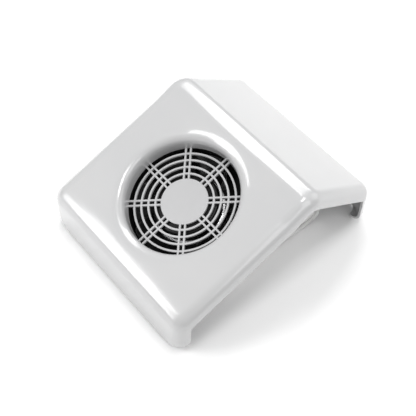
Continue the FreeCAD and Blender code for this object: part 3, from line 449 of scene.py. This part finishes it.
def shell_surface():
    """Outer face of the shell: a grid with a round patch that flares down into the air opening."""
    sheet = Sheet()
    rows, low, high = sheet_rows(sheet)
    flat = HALF_WIDTH - LIP_RADIUS
    beside = spaced(PATCH_HALF_X, flat, SIDE_STEP)[1:]
    shares = np.concatenate([-beside[::-1], spaced(-PATCH_HALF_X, PATCH_HALF_X, PATCH_STEP), beside]) / flat
    turns = np.linspace(0, math.pi / 2, 11)[1:]
    points, index = [], {}
    count = len(shares) + 2 * len(turns)
    for i, way in enumerate(rows):
        half = float(sheet.half_width(way))
        lip = half - LIP_RADIUS + LIP_RADIUS * np.sin(turns)
        x = np.concatenate([-lip[::-1], shares * (half - LIP_RADIUS), lip])
        for j, point in enumerate(sheet.at(x, np.full(count, way))):
            index[i, j] = len(points)
            points.append(point)
    faces = []
    left = len(turns) + int(np.argmin(np.abs(shares * flat + PATCH_HALF_X)))
    right = len(turns) + int(np.argmin(np.abs(shares * flat - PATCH_HALF_X)))
    front = int(np.argmin(np.abs(rows - low)))
    back = int(np.argmin(np.abs(rows - high)))
    for i in range(len(rows) - 1):
        for j in range(count - 1):
            if front <= i < back and left <= j < right:
                continue
            faces.append([index[i, j], index[i, j + 1], index[i + 1, j + 1], index[i + 1, j]])
    rim = [(front, j) for j in range(left, right)] + [(i, right) for i in range(front, back)]
    rim += [(back, j) for j in range(right, left, -1)] + [(i, left) for i in range(back, front, -1)]
    outline = [index[key] for key in rim]
    add_flare(sheet, points, faces, outline)
    used = sorted({i for face in faces for i in face})
    renumber = {old: new for new, old in enumerate(used)}
    return [points[i] for i in used], [[renumber[i] for i in face] for face in faces]


def add_flare(sheet, points, faces, outline):
    """Rings from the patch's outline in to the flare, down it, and down the throat's wall."""
    edge = np.array([points[i] for i in outline]) - FAN_CENTRE
    across, along = edge @ ACROSS, edge @ ALONG
    angles = np.arctan2(along, across)
    reach = np.hypot(across, along)
    flare_end = THROAT_RADIUS + FLARE_WIDTH
    rings = []
    for share in np.linspace(0, 1, 6)[1:]:
        rings.append((reach + (flare_end - reach) * share, 0.0, 1.0))
    depth = BASIN_RISE - THROAT_WALL
    for angle in np.linspace(math.pi / 2, 0, 22)[1:]:
        inward = max(math.cos(angle), 0.0) ** (2 / FLARE_TIGHTNESS)
        height = max(math.sin(angle), 0.0) ** (2 / FLARE_TIGHTNESS)
        radius = THROAT_RADIUS + FLARE_WIDTH * (1 - inward)
        rings.append((np.full(len(reach), radius), depth * (1 - height), math.sin(angle) ** 2))
    for share in (0.35, 0.8, 1.0):
        rings.append((np.full(len(reach), THROAT_RADIUS), depth + THROAT_WALL * share, 0.0))
    previous = outline
    for radius, drop, follow in rings:
        x, y = radius * np.cos(angles), radius * np.sin(angles)
        base = sheet.at(x, sheet.way_at(y))
        above = (base - FAN_CENTRE) @ FAN_AXIS
        shift = -drop - (1 - follow) * (above - BASIN_RISE)
        ring = base + shift[:, None] * FAN_AXIS
        first = len(points)
        points.extend(ring)
        here = list(range(first, first + len(ring)))
        for k in range(len(here)):
            n = (k + 1) % len(here)
            faces.append([previous[k], previous[n], here[n], here[k]])
        previous = here


def tube(points, faces, outer, inner, low, high, depth, matrix, sides=40):
    """Add a round post with a blind hole in its lower end, on a matrix's Z axis."""
    edge = 0.4 * MM
    profile = [(inner, low + depth), (inner, low), (outer - edge, low), (outer, low + edge), (outer, high)]
    first = len(points)
    for k in range(sides):
        angle = 2 * math.pi * k / sides
        for radius, z in profile:
            spot = Vector((radius * math.cos(angle), radius * math.sin(angle), z))
            points.append(np.array(matrix @ spot))
    count = len(profile)
    faces += ring_faces(sides, count, first)
    faces.append([first + k * count for k in range(sides)][::-1])
    faces.append([first + k * count + count - 1 for k in range(sides)])


def gusset(points, faces, origin, outward, up, reach, height, thick):
    """Add a thin triangular web beside a post."""
    side = np.cross(up, outward)
    side = side / np.linalg.norm(side) * thick / 2
    first = len(points)
    for shift in (-side, side):
        for a, b in ((0, 0), (reach, height), (0, height)):
            points.append(origin + outward * a + up * b + shift)
    faces.extend([[first, first + 1, first + 2], [first + 5, first + 4, first + 3]])
    for a, b in ((0, 1), (1, 2), (2, 0)):
        faces.append([first + a, first + a + 3, first + b + 3, first + b])


BOLT_HALF = 52.5 * MM
POST_RADIUS, SCREW_RADIUS = 4.6 * MM, 2.0 * MM
FOOT_POST_RADIUS, FOOT_PLUG_RADIUS, FOOT_POST_HEIGHT = 5.5 * MM, 2.0 * MM, 9.0 * MM


def shell_posts():
    """Posts under the basin for the fan screws, and posts in the walls for the feet."""
    points, faces = [], []
    for x in (-1, 1):
        for y in (-1, 1):
            place = FAN_MATRIX @ Matrix.Translation((x * BOLT_HALF, y * BOLT_HALF, 0))
            tube(points, faces, POST_RADIUS, SCREW_RADIUS, 0.0, BASIN_RISE - 1.5 * MM, 9.5 * MM, place)
            centre = fan_point(x * BOLT_HALF, y * BOLT_HALF, 5 * MM)
            for outward in (x * ACROSS, y * ALONG):
                gusset(points, faces, centre + outward * (POST_RADIUS - 0.3 * MM), outward, FAN_AXIS,
                       6 * MM, BASIN_RISE - 6.4 * MM, 1.4 * MM)
    for number in range(1, 5):
        low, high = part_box("rubber_foot_%d" % number)
        centre = (low + high) / 2
        place = Matrix.Translation((centre.x, centre.y, EDGE_CLEAR))
        tube(points, faces, FOOT_POST_RADIUS, FOOT_PLUG_RADIUS, 0.0, FOOT_POST_HEIGHT, 5 * MM, place)
    return make_mesh("shell_posts", points, faces)


def make_shell():
    """The shell: thickened sheet with softened edges, openings for switch and inlet, and its posts.

    The back wall has no holes for the inlet's two screws. Their heads and nuts cover those places.
    """
    shell = make_mesh("top_shell_moulding", *shell_surface())
    add_modifier(shell, "SOLIDIFY", thickness=WALL, offset=-1.0, use_even_offset=True, use_rim=True)
    apply_modifiers(shell)
    inside, outside = BACK_Y - CUT_INSIDE, BACK_Y + CUT_OUTSIDE
    for name, (half_x, half_z) in (("switch_tabs", SWITCH_HOLE_HALVES), ("inlet_pins", INLET_HOLE_HALVES)):
        low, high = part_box(name)
        x = (low.x + high.x) / 2
        near, far = (x - half_x, inside, PANEL_Z - half_z), (x + half_x, outside, PANEL_Z + half_z)
        cut_out(shell, box_tool(near, far))
    add_modifier(shell, "BEVEL", width=EDGE_SOFTENING, segments=3, limit_method="ANGLE",
                 angle_limit=math.radians(50))
    apply_modifiers(shell)
    shade_smooth(shell)
    add_modifier(shell, "WEIGHTED_NORMAL", keep_sharp=True)
    posts = shell_posts()
    finish_piece(shell, shell_finish(), "housing", "top_shell")
    finish_piece(posts, shell.data.materials[0], "housing", "top_shell")


# ---------------------------------------------------------------- rotor

def smooth_outline(corners, steps=6):
    """Corners (radius, height, rounding) joined by straight runs, each corner drawn as an arc."""
    points = []
    for i, (radius, height, rounding) in enumerate(corners):
        here = np.array([radius, height])
        if rounding == 0 or i in (0, len(corners) - 1):
            points.append(here)
            continue
        before, after = (np.array(corners[k][:2]) for k in (i - 1, i + 1))
        u = (before - here) / np.linalg.norm(before - here)
        v = (after - here) / np.linalg.norm(after - here)
        half = math.acos(np.clip(u @ v, -1, 1)) / 2
        reach = rounding / math.tan(half)
        centre = here + (u + v) / np.linalg.norm(u + v) * rounding / math.sin(half)
        start, end = here + u * reach - centre, here + v * reach - centre
        sweep = math.atan2(start[0] * end[1] - start[1] * end[0], start @ end)
        for share in np.linspace(0, 1, steps + 1):
            turn = sweep * share
            points.append(centre + np.array([start[0] * math.cos(turn) - start[1] * math.sin(turn),
                                             start[0] * math.sin(turn) + start[1] * math.cos(turn)]))
    return points


def revolved(name, corners, sides=128):
    """A closed outline (radius, height, rounding) in millimetres, turned about the fan axis."""
    outline = smooth_outline(corners)
    points = []
    for k in range(sides):
        angle = 2 * math.pi * k / sides
        for radius, height in outline:
            points.append(fan_polar(radius, angle, height))
    return close_mesh(make_mesh(name, points, ring_faces(sides, len(outline))), merge=True)


HUB_OUTLINE = [(0, -3.5, 0), (34.0, -3.5, 3.2), (34.5, -12.0, 0), (34.5, -19.4, 0.2), (32.6, -19.4, 0),
               (32.6, -8.0, 0), (30.4, -5.3, 0), (0, -5.3, 0)]
CAN_OUTLINE = [(2.0, -5.5, 0), (30.0, -5.5, 0), (32.4, -8.2, 0), (32.4, -18.9, 0), (34.6, -19.0, 0.5),
               (37.2, -20.1, 3.0), (38.4, -22.2, 0.4), (37.8, -22.8, 0.2), (34.0, -22.4, 0),
               (32.4, -23.4, 0.3), (30.7, -23.4, 0), (30.7, -9.0, 0), (28.8, -7.0, 0), (2.0, -7.0, 0),
               (2.0, -5.5, 0)]
BLADES = 7
BLADE_ROOT, BLADE_TIP = 37.0, 57.2
BLADE_TOP, BLADE_BOTTOM = -5.0, -22.4
BLADE_CUTBACK, BLADE_ROUNDING = 13.0, 0.6
BLADE_THICK = 1.7
BLADE_ROWS = 19
CHORD_ROOT, CHORD_GAIN, SWEEP, CAMBER = 44, 10, 24, 5


def blade_spot(across, down):
    """Middle of a blade: across from root to tip and down from its leading edge, both 0 to 1."""
    radius = BLADE_ROOT + (BLADE_TIP - BLADE_ROOT) * across
    chord = math.radians(CHORD_ROOT + CHORD_GAIN * across)
    swept = math.radians(SWEEP * across ** 1.5)
    camber = math.radians(CAMBER) * math.sin(math.pi * down)
    angle = swept + chord * (down - 0.5) + camber
    lead = BLADE_TOP - BLADE_CUTBACK * (1 - across) ** 1.6
    height = lead + (BLADE_BOTTOM - lead) * (down ** 0.85)
    return radius, angle, height


def make_blades():
    """Curved, swept blades, thinned at their edges."""
    points, faces = [], []
    rows = BLADE_ROWS
    for blade in range(BLADES):
        first = len(points)
        turn = 2 * math.pi * blade / BLADES
        for side in (1, -1):
            for i in range(rows):
                for j in range(rows):
                    across, down = i / (rows - 1), j / (rows - 1)
                    radius, angle, height = blade_spot(across, down)
                    thin = (1 - (2 * down - 1) ** 4) ** 0.5
                    half = BLADE_THICK / 2 * (0.25 + 0.75 * thin) * (1.15 - 0.45 * across)
                    height = min(height + side * half * 0.9, BLADE_TOP + BLADE_ROUNDING)
                    angle = angle + side * half * 0.35 / radius + turn
                    points.append(fan_polar(radius, angle, height))
        other = first + rows * rows
        for i in range(rows - 1):
            for j in range(rows - 1):
                a, b = i * rows + j, (i + 1) * rows + j
                faces.append([first + a, first + a + 1, first + b + 1, first + b])
                faces.append([other + a, other + b, other + b + 1, other + a + 1])
        edge = [i * rows for i in range(rows)] + [(rows - 1) * rows + j for j in range(1, rows)]
        edge += [i * rows + rows - 1 for i in range(rows - 2, -1, -1)]
        edge += [j for j in range(rows - 2, 0, -1)]
        for a, b in zip(edge, edge[1:] + edge[:1]):
            faces.append([first + a, first + b, other + b, other + a])
    return close_mesh(make_mesh("impeller_blades", points, faces))


def make_rotor():
    """Black hub cap and blades over a steel rotor can whose rim stands out below the hub."""
    black = moulded_plastic("impeller_black", grey(0.005), 0.34, ior=1.28)
    steel = machined_metal("rotor_steel", (0.86, 0.86, 0.87, 1), 0.28, 700.0, (1.0, 1.0, 14.0))
    finish_piece(revolved("impeller_hub", HUB_OUTLINE), black, "fan_rotor", "impeller")
    finish_piece(make_blades(), black, "fan_rotor", "impeller")
    finish_piece(revolved("rotor_can", CAN_OUTLINE), steel, "fan_rotor", "rotor_cup")


# ---------------------------------------------------------------- dust bag

BAG_OUTLINE_TOP = [(-50, 4.6), (74, 44.6), (85, 74.2), (97, 70.2), (120, 50.2)]
BAG_OUTLINE_LOW = [(-50, 0.0), (112, 0.0), (120, 6.2)]
BAG_FLOOR = 1.8 * MM
BAG_HALF = 70.0 * MM
BAG_COUNTS = (34, 40, 14)
BAG_FRONT, BAG_LENGTH = -50, 170
BAG_INSET = 1.2 * MM
BAG_SWELL = 3.0 * MM
BAG_SHEET = 0.9 * MM
BAG_TIDE, BAG_SETTLE = 1.6 * MM, 0.6 * MM
HELD_BOTTOM, HELD_RADIUS = -38.5 * MM, 66.0 * MM
CLOTH_FRAMES = 20
HEM, HEM_CLEAR = 3.2 * MM, 0.7 * MM
NECK_INNER, NECK_OUTER = 58.9, 60.1
NECK_FOOT = 64.5
NECK_SIDES, PLEATS = 288, 44
NECK_SHEET = 0.35 * MM
MOUTH_RADIUS, MOUTH_BOTTOM, MOUTH_TOP, MOUTH_SIDES = 60.6, -38.3, -24.0, 96


def bag_grid():
    """The bag as sewn: a closed wedge of even panels, drawn slightly small for the air to fill."""
    across_count, along_count, tall_count = BAG_COUNTS
    tops, lows = np.array(BAG_OUTLINE_TOP), np.array(BAG_OUTLINE_LOW)
    index, points = {}, []
    for i in range(across_count + 1):
        for j in range(along_count + 1):
            along = BAG_FRONT + BAG_LENGTH * j / along_count
            shift = BAG_INSET if j == 0 else -BAG_INSET if j == along_count else 0.0
            top = np.interp(along, tops[:, 0], tops[:, 1])
            low = np.interp(along, lows[:, 0], lows[:, 1])
            for k in range(tall_count + 1):
                if 0 < i < across_count and 0 < j < along_count and 0 < k < tall_count:
                    continue
                index[i, j, k] = len(points)
                inset = BAG_INSET * min(1.0, (top - low) / 12)
                points.append((
                    (BAG_HALF - BAG_INSET) * (2 * i / across_count - 1),
                    FAN_CENTRE[1] + (along * MM + shift),
                    BAG_FLOOR + low * MM + inset + ((top - low) * MM - 2 * inset) * k / tall_count,
                ))
    faces = []
    for fixed in range(3):
        u, v = [axis for axis in range(3) if axis != fixed]
        for end in (0, BAG_COUNTS[fixed]):
            for a in range(BAG_COUNTS[u]):
                for b in range(BAG_COUNTS[v]):
                    ring = []
                    for du, dv in ((0, 0), (1, 0), (1, 1), (0, 1)):
                        spot = [0, 0, 0]
                        spot[fixed], spot[u], spot[v] = end, a + du, b + dv
                        ring.append(index[tuple(spot)])
                    flip = (end == 0) != (fixed == 1)
                    faces.append(ring[::-1] if flip else ring)
    return points, faces, index


def fill_bag(bag):
    """Blow the sewn bag up a little, holding it round its mouth and where it lies on the table."""
    rest = [vertex.co.copy() for vertex in bag.data.vertices]
    held = bag.vertex_groups.new(name="held")
    for number, point in enumerate(rest):
        radius, above = fan_coordinates(point)
        at_mouth = above > HELD_BOTTOM and radius < HELD_RADIUS
        if at_mouth or point.z < BAG_FLOOR + BAG_TIDE:
            held.add([number], 1.0, "REPLACE")
    cloth = add_modifier(bag, "CLOTH")
    settings = cloth.settings
    settings.quality = 6
    settings.mass = 0.12
    settings.use_pressure = True
    settings.uniform_pressure_force = 4.0
    settings.tension_stiffness = settings.compression_stiffness = 12.0
    settings.bending_stiffness = 0.4
    settings.vertex_group_mass = "held"
    settings.effector_weights.gravity = 0.0
    cloth.point_cache.frame_start, cloth.point_cache.frame_end = 1, CLOTH_FRAMES
    scene = bpy.context.scene
    for frame_number in range(1, CLOTH_FRAMES + 1):
        scene.frame_set(frame_number)
    apply_modifiers(bag)
    scene.frame_set(1)
    for vertex, start in zip(bag.data.vertices, rest):
        move = vertex.co - start
        if move.length > BAG_SWELL:
            move = move * (BAG_SWELL / move.length)
        spot = start + move
        spot.z = max(spot.z, BAG_FLOOR - BAG_SETTLE)
        vertex.co = spot


def bag_seam(name, bag, index, side):
    """Raw edge of the side seam: the two layers stand out together as a narrow hem."""
    across = BAG_COUNTS[0] if side > 0 else 0
    along_count, tall_count = BAG_COUNTS[1], BAG_COUNTS[2]
    ring = [(across, j, tall_count) for j in range(along_count + 1)]
    ring += [(across, along_count, k) for k in range(tall_count - 1, -1, -1)]
    ring += [(across, j, 0) for j in range(along_count - 1, -1, -1)]
    ring += [(across, 0, k) for k in range(1, tall_count)]
    spots = [bag.data.vertices[index[key]].co.copy() for key in ring]
    points = []
    middle = sum(spots, Vector()) / len(spots)
    count = len(spots)
    for number, spot in enumerate(spots):
        outward = (spots[(number + 1) % count] - spots[number - 1]).cross(Vector((side, 0, 0)))
        if outward.dot(spot - middle) < 0:
            outward = -outward
        if outward.length < 1e-9:
            outward = Vector((0, 0, 1))
        outward = Vector((side * 1.4, 0, 0)) + outward.normalized() * 0.7
        outward.normalize()
        wave = 0.5 * MM * math.sin(number * 0.9) + 0.3 * MM * math.sin(number * 2.3)
        tip = spot + outward * HEM + Vector((0, 0, wave))
        tip.z = max(tip.z, HEM_CLEAR)
        points += [spot - outward * 0.5 * MM, spot + outward * HEM * 0.5 + Vector((0, 0, wave * 0.3)), tip]
    seam = make_mesh(name, points, ring_faces(count, 3))
    add_modifier(seam, "SUBSURF", levels=1, render_levels=1)
    add_modifier(seam, "SOLIDIFY", thickness=BAG_SHEET * 1.4, offset=0.0)
    apply_modifiers(seam)
    return seam


def bag_neck(bag):
    """Gathered neck: hemmed over the spigot, held by the elastic, spreading onto the bag's top."""
    tree = BVHTree.FromPolygons([vertex.co.copy() for vertex in bag.data.vertices],
                                [tuple(face.vertices) for face in bag.data.polygons])
    points = []
    for k in range(NECK_SIDES):
        angle = 2 * math.pi * k / NECK_SIDES
        pleat = math.sin(angle * PLEATS + 1.3 * math.sin(angle * 5))
        hit = tree.ray_cast(Vector(fan_polar(NECK_FOOT, angle, -31.0)), Vector(-FAN_AXIS))[0]
        foot = -36.0 if hit is None else fan_coordinates(hit)[1] / MM
        foot = min(foot, -34.0)
        rows = [(NECK_INNER, -33.0, 0), (NECK_INNER, -30.6, 0), (NECK_INNER + 0.7, -30.0, 0),
                (NECK_OUTER + 0.2, -30.6, 0.1), (NECK_OUTER, -31.6, 0), (NECK_OUTER, -33.2, 0),
                (NECK_OUTER + 0.5, -34.1, 0.30), (NECK_OUTER + 1.2, (foot - 34.1) / 2 - 0.2, 0.40),
                (NECK_OUTER + 2.4, foot + 0.35, 0.35), (NECK_OUTER + 4.4, foot + 0.2, 0.2),
                (NECK_OUTER + 5.2, foot - 0.5, 0.0)]
        for radius, height, fold in rows:
            points.append(fan_polar(radius + fold * pleat, angle, height + fold * 0.4 * pleat))
    neck = make_mesh("dust_bag_neck", points, ring_faces(NECK_SIDES, len(rows)))
    add_modifier(neck, "SOLIDIFY", thickness=NECK_SHEET, offset=0.0)
    apply_modifiers(neck)
    return neck


def fabric_finish():
    """Spun-bonded cloth: pressed dimples in rows with painted shade in them, stray fibres and a soft uneven
    tone.
    """
    finish = Finish("bag_nonwoven")
    rows = finish.node("ShaderNodeTexVoronoi", {"feature": "F1"}, finish.place, Scale=620.0, Randomness=0.25,
                       output="Distance")
    dimple_and_shade = rows.smooth(0.1, 0.55)
    fibres = finish.noise(2400.0, 4.0)
    tone = finish.noise(35.0, 3.0)
    return finish.set(
        # Painted shade: the pressed dimples take the darker colour; the tone noise adds a random unevenness.
        Base_Color=finish.mix_colour(dimple_and_shade * 0.7 + tone * 0.3, (0.60, 0.60, 0.59, 1), (0.82, 0.82, 0.81, 1)),
        Roughness=0.9 - 0.1 * dimple_and_shade,
        Normal=finish.bump(dimple_and_shade + fibres * 0.5, 0.5, 0.0003),
    )


def make_bag():
    """Fabric bag: body, two side seams and the gathered neck."""
    points, faces, index = bag_grid()
    bag = make_mesh("dust_bag_body", points, faces)
    fill_bag(bag)
    seams = [bag_seam("dust_bag_seam_right", bag, index, 1), bag_seam("dust_bag_seam_left", bag, index, -1)]
    neck = bag_neck(bag)
    add_modifier(bag, "SUBSURF", levels=1, render_levels=1)
    add_modifier(bag, "SOLIDIFY", thickness=BAG_SHEET, offset=-1.0)
    apply_modifiers(bag)
    turns = [2 * math.pi * k / MOUTH_SIDES for k in range(MOUTH_SIDES)]
    ends = [fan_polar(MOUTH_RADIUS, turn, height) for height in (MOUTH_BOTTOM, MOUTH_TOP) for turn in turns]
    cut_out(bag, round_tool(ends))
    shade_smooth(bag)
    cloth = fabric_finish()
    for piece in (bag, neck, *seams):
        finish_piece(piece, cloth, "housing", "dust_bag")


# ---------------------------------------------------------------- carried-over nodes

def dress_nodes():
    """Procedural finishes for the nodes that keep their own shape, with softened edges."""
    black = moulded_plastic("fan_black", grey(0.006), 0.36, ior=1.3)
    cast = moulded_plastic("fan_paint", grey(0.008), 0.5, grain=0.25, ior=1.3)
    nylon_black = moulded_plastic("black_nylon", grey(0.03), 0.45, grain=0.2)
    key = moulded_plastic("polished_key", grey(0.02), 0.2, coat=0.4)
    white = moulded_plastic("grille_abs", (0.47, 0.47, 0.475, 1), 0.4)
    collar = moulded_plastic("collar_abs", grey(0.74), 0.5, grain=0.2)
    nylon = moulded_plastic("natural_nylon", (0.78, 0.76, 0.70, 1), 0.5)
    rubber = moulded_plastic("moulded_rubber", grey(0.03), 0.75, grain=0.6)
    steel = machined_metal("drawn_steel", (0.55, 0.55, 0.57, 1), 0.32)
    zinc = machined_metal("zinc_plate", (0.62, 0.62, 0.58, 1), 0.36, 900.0, (1.0, 1.0, 1.0))
    iron = machined_metal("laminated_iron", (0.26, 0.26, 0.28, 1), 0.45, 300.0, (1.0, 1.0, 40.0))
    bronze = machined_metal("sintered_bronze", (0.52, 0.36, 0.18, 1), 0.5, 1500.0, (1.0, 1.0, 1.0))
    copper = machined_metal("enamelled_copper", (0.62, 0.24, 0.10, 1), 0.3, 250.0, (1.0, 1.0, 30.0))
    brass = machined_metal("tinned_brass", (0.72, 0.58, 0.30, 1), 0.3, 800.0, (1.0, 1.0, 1.0))
    elastic = moulded_plastic("elastic_cover", grey(0.72), 0.85, grain=0.8)
    finishes = {
        "intake_grille": (white, 0.75), "fan_frame": (cast, 0.4), "bearing_cap": (black, 0.1),
        "upper_bush": (bronze, 0.1), "lower_bush": (bronze, 0.1), "thrust_washer": (nylon, 0.1),
        "stator_core": (iron, 0.2), "stator_coils": (copper, 1.2),
        "rotor_iron": (iron, 0.15), "rotor_shaft": (steel, 0.15), "shaft_clip": (steel, 0.08),
        "terminal_block": (nylon_black, 0.4), "terminal_pins": (brass, 0.15), "bag_collar": (collar, 0.3),
        "bag_elastic": (elastic, 0.0), "fan_screws": (zinc, 0.25), "fan_washers": (zinc, 0.1),
        "switch_housing": (nylon_black, 0.35), "switch_tabs": (brass, 0.1), "switch_rocker": (key, 0.4),
        "inlet_housing": (nylon_black, 0.35), "inlet_pins": (brass, 0.3), "inlet_screws": (zinc, 0.2),
        "inlet_nuts": (zinc, 0.15), "live_lead": (leads_finish("lead_brown", (0.16, 0.07, 0.035, 1)), 0.0),
        "switched_lead": (leads_finish("lead_black", (0.02, 0.02, 0.02, 1)), 0.0),
        "neutral_lead": (leads_finish("lead_blue", (0.04, 0.12, 0.34, 1)), 0.0),
    }
    for number in range(1, 5):
        finishes["rubber_foot_%d" % number] = (rubber, 0.5)
    for name, (material, softened) in finishes.items():
        node = nodes[name]
        node.data.materials.clear()
        node.data.materials.append(material)
        shade_smooth(node)
        if softened:
            add_modifier(node, "BEVEL", width=softened * MM, segments=2, limit_method="ANGLE",
                         angle_limit=math.radians(40), use_clamp_overlap=True)
        add_modifier(node, "WEIGHTED_NORMAL", keep_sharp=True)


# ---------------------------------------------------------------- camera, light and floor

CAMERA_FROM_FAN = (0.3915, -0.2950, 0.6852)
CAMERA_AZIMUTH, CAMERA_ELEVATION = math.radians(50.3), math.radians(54.9)
LENS = 74.8
FLOOR_REACH = 4.0
SURROUNDINGS = 0.5
LIGHTS = (
    ("front_left_box", (-0.575, -0.944, 0.735), 0.4, 1.14, 8.0),
    ("back_left_box", (-0.575, 0.68, 0.97), 0.4, 1.35, 7.0),
    ("high_box", (0.13, 0.06, 1.33), 0.35, 0.5, 4.5),
    ("right_fill", (0.90, 0.10, 0.95), 0.8, 0.8, 3.0),
    ("back_fill", (0.45, 1.10, 0.65), 0.9, 0.9, 2.5),
)
LIGHTS_AIM = (0.0, 0.0, 0.05)


def make_camera():
    """The camera looks down over the right-hand end from the front."""
    lens = bpy.data.cameras.new("camera")
    lens.lens = LENS
    camera = bpy.data.objects.new("camera", lens)
    bpy.context.scene.collection.objects.link(camera)
    sin_a, cos_a = math.sin(CAMERA_AZIMUTH), math.cos(CAMERA_AZIMUTH)
    sin_e, cos_e = math.sin(CAMERA_ELEVATION), math.cos(CAMERA_ELEVATION)
    back = Vector((sin_a * cos_e, -cos_a * cos_e, sin_e))
    right = Vector((cos_a, sin_a, 0))
    up = back.cross(right)
    camera.matrix_world = Matrix((right, up, back)).transposed().to_4x4()
    camera.matrix_world.translation = Vector(FAN_CENTRE) + Vector(CAMERA_FROM_FAN)
    bpy.context.scene.camera = camera


def area_light(name, place, aim, width, height, power):
    """A soft box that faces its aim, with its width turned as near to X as it can be."""
    light = bpy.data.lights.new(name, "AREA")
    light.shape = "RECTANGLE"
    light.size, light.size_y, light.energy = width, height, power
    made = bpy.data.objects.new(name, light)
    bpy.context.scene.collection.objects.link(made)
    made.location = place
    back = (Vector(place) - Vector(aim)).normalized()
    side = (Vector((1, 0, 0)) - back * back.x).normalized()
    made.rotation_euler = Matrix((side, back.cross(side), back)).transposed().to_euler()


def make_studio():
    """White floor, even white surroundings, two long soft boxes, a high one and two fills."""
    reach = FLOOR_REACH
    corners = [(-reach, -reach, 0), (reach, -reach, 0), (reach, reach, 0), (-reach, reach, 0)]
    floor = make_mesh("floor", corners, [(0, 1, 2, 3)], smooth=False)
    paper = Finish("floor_paper")
    tone = paper.noise(3.0, 3.0)
    paper.set(
        Base_Color=paper.mix_colour(tone.smooth(0.3, 0.7), grey(0.93), grey(0.95)),
        Roughness=0.8,
        Normal=paper.bump(paper.noise(800.0), 0.05, 0.0001),
    )
    floor.data.materials.append(paper.material)
    world = bpy.data.worlds.new("studio")
    world.use_nodes = True
    world.node_tree.nodes["Background"].inputs[0].default_value = (1, 1, 1, 1)
    world.node_tree.nodes["Background"].inputs[1].default_value = SURROUNDINGS
    bpy.context.scene.world = world
    bpy.context.scene.view_settings.view_transform = "Standard"
    for name, place, width, height, power in LIGHTS:
        area_light(name, place, LIGHTS_AIM, width, height, power)


make_camera()
make_studio()
make_shell()
make_rotor()
make_bag()
dress_nodes()

bpy.context.view_layer.update()
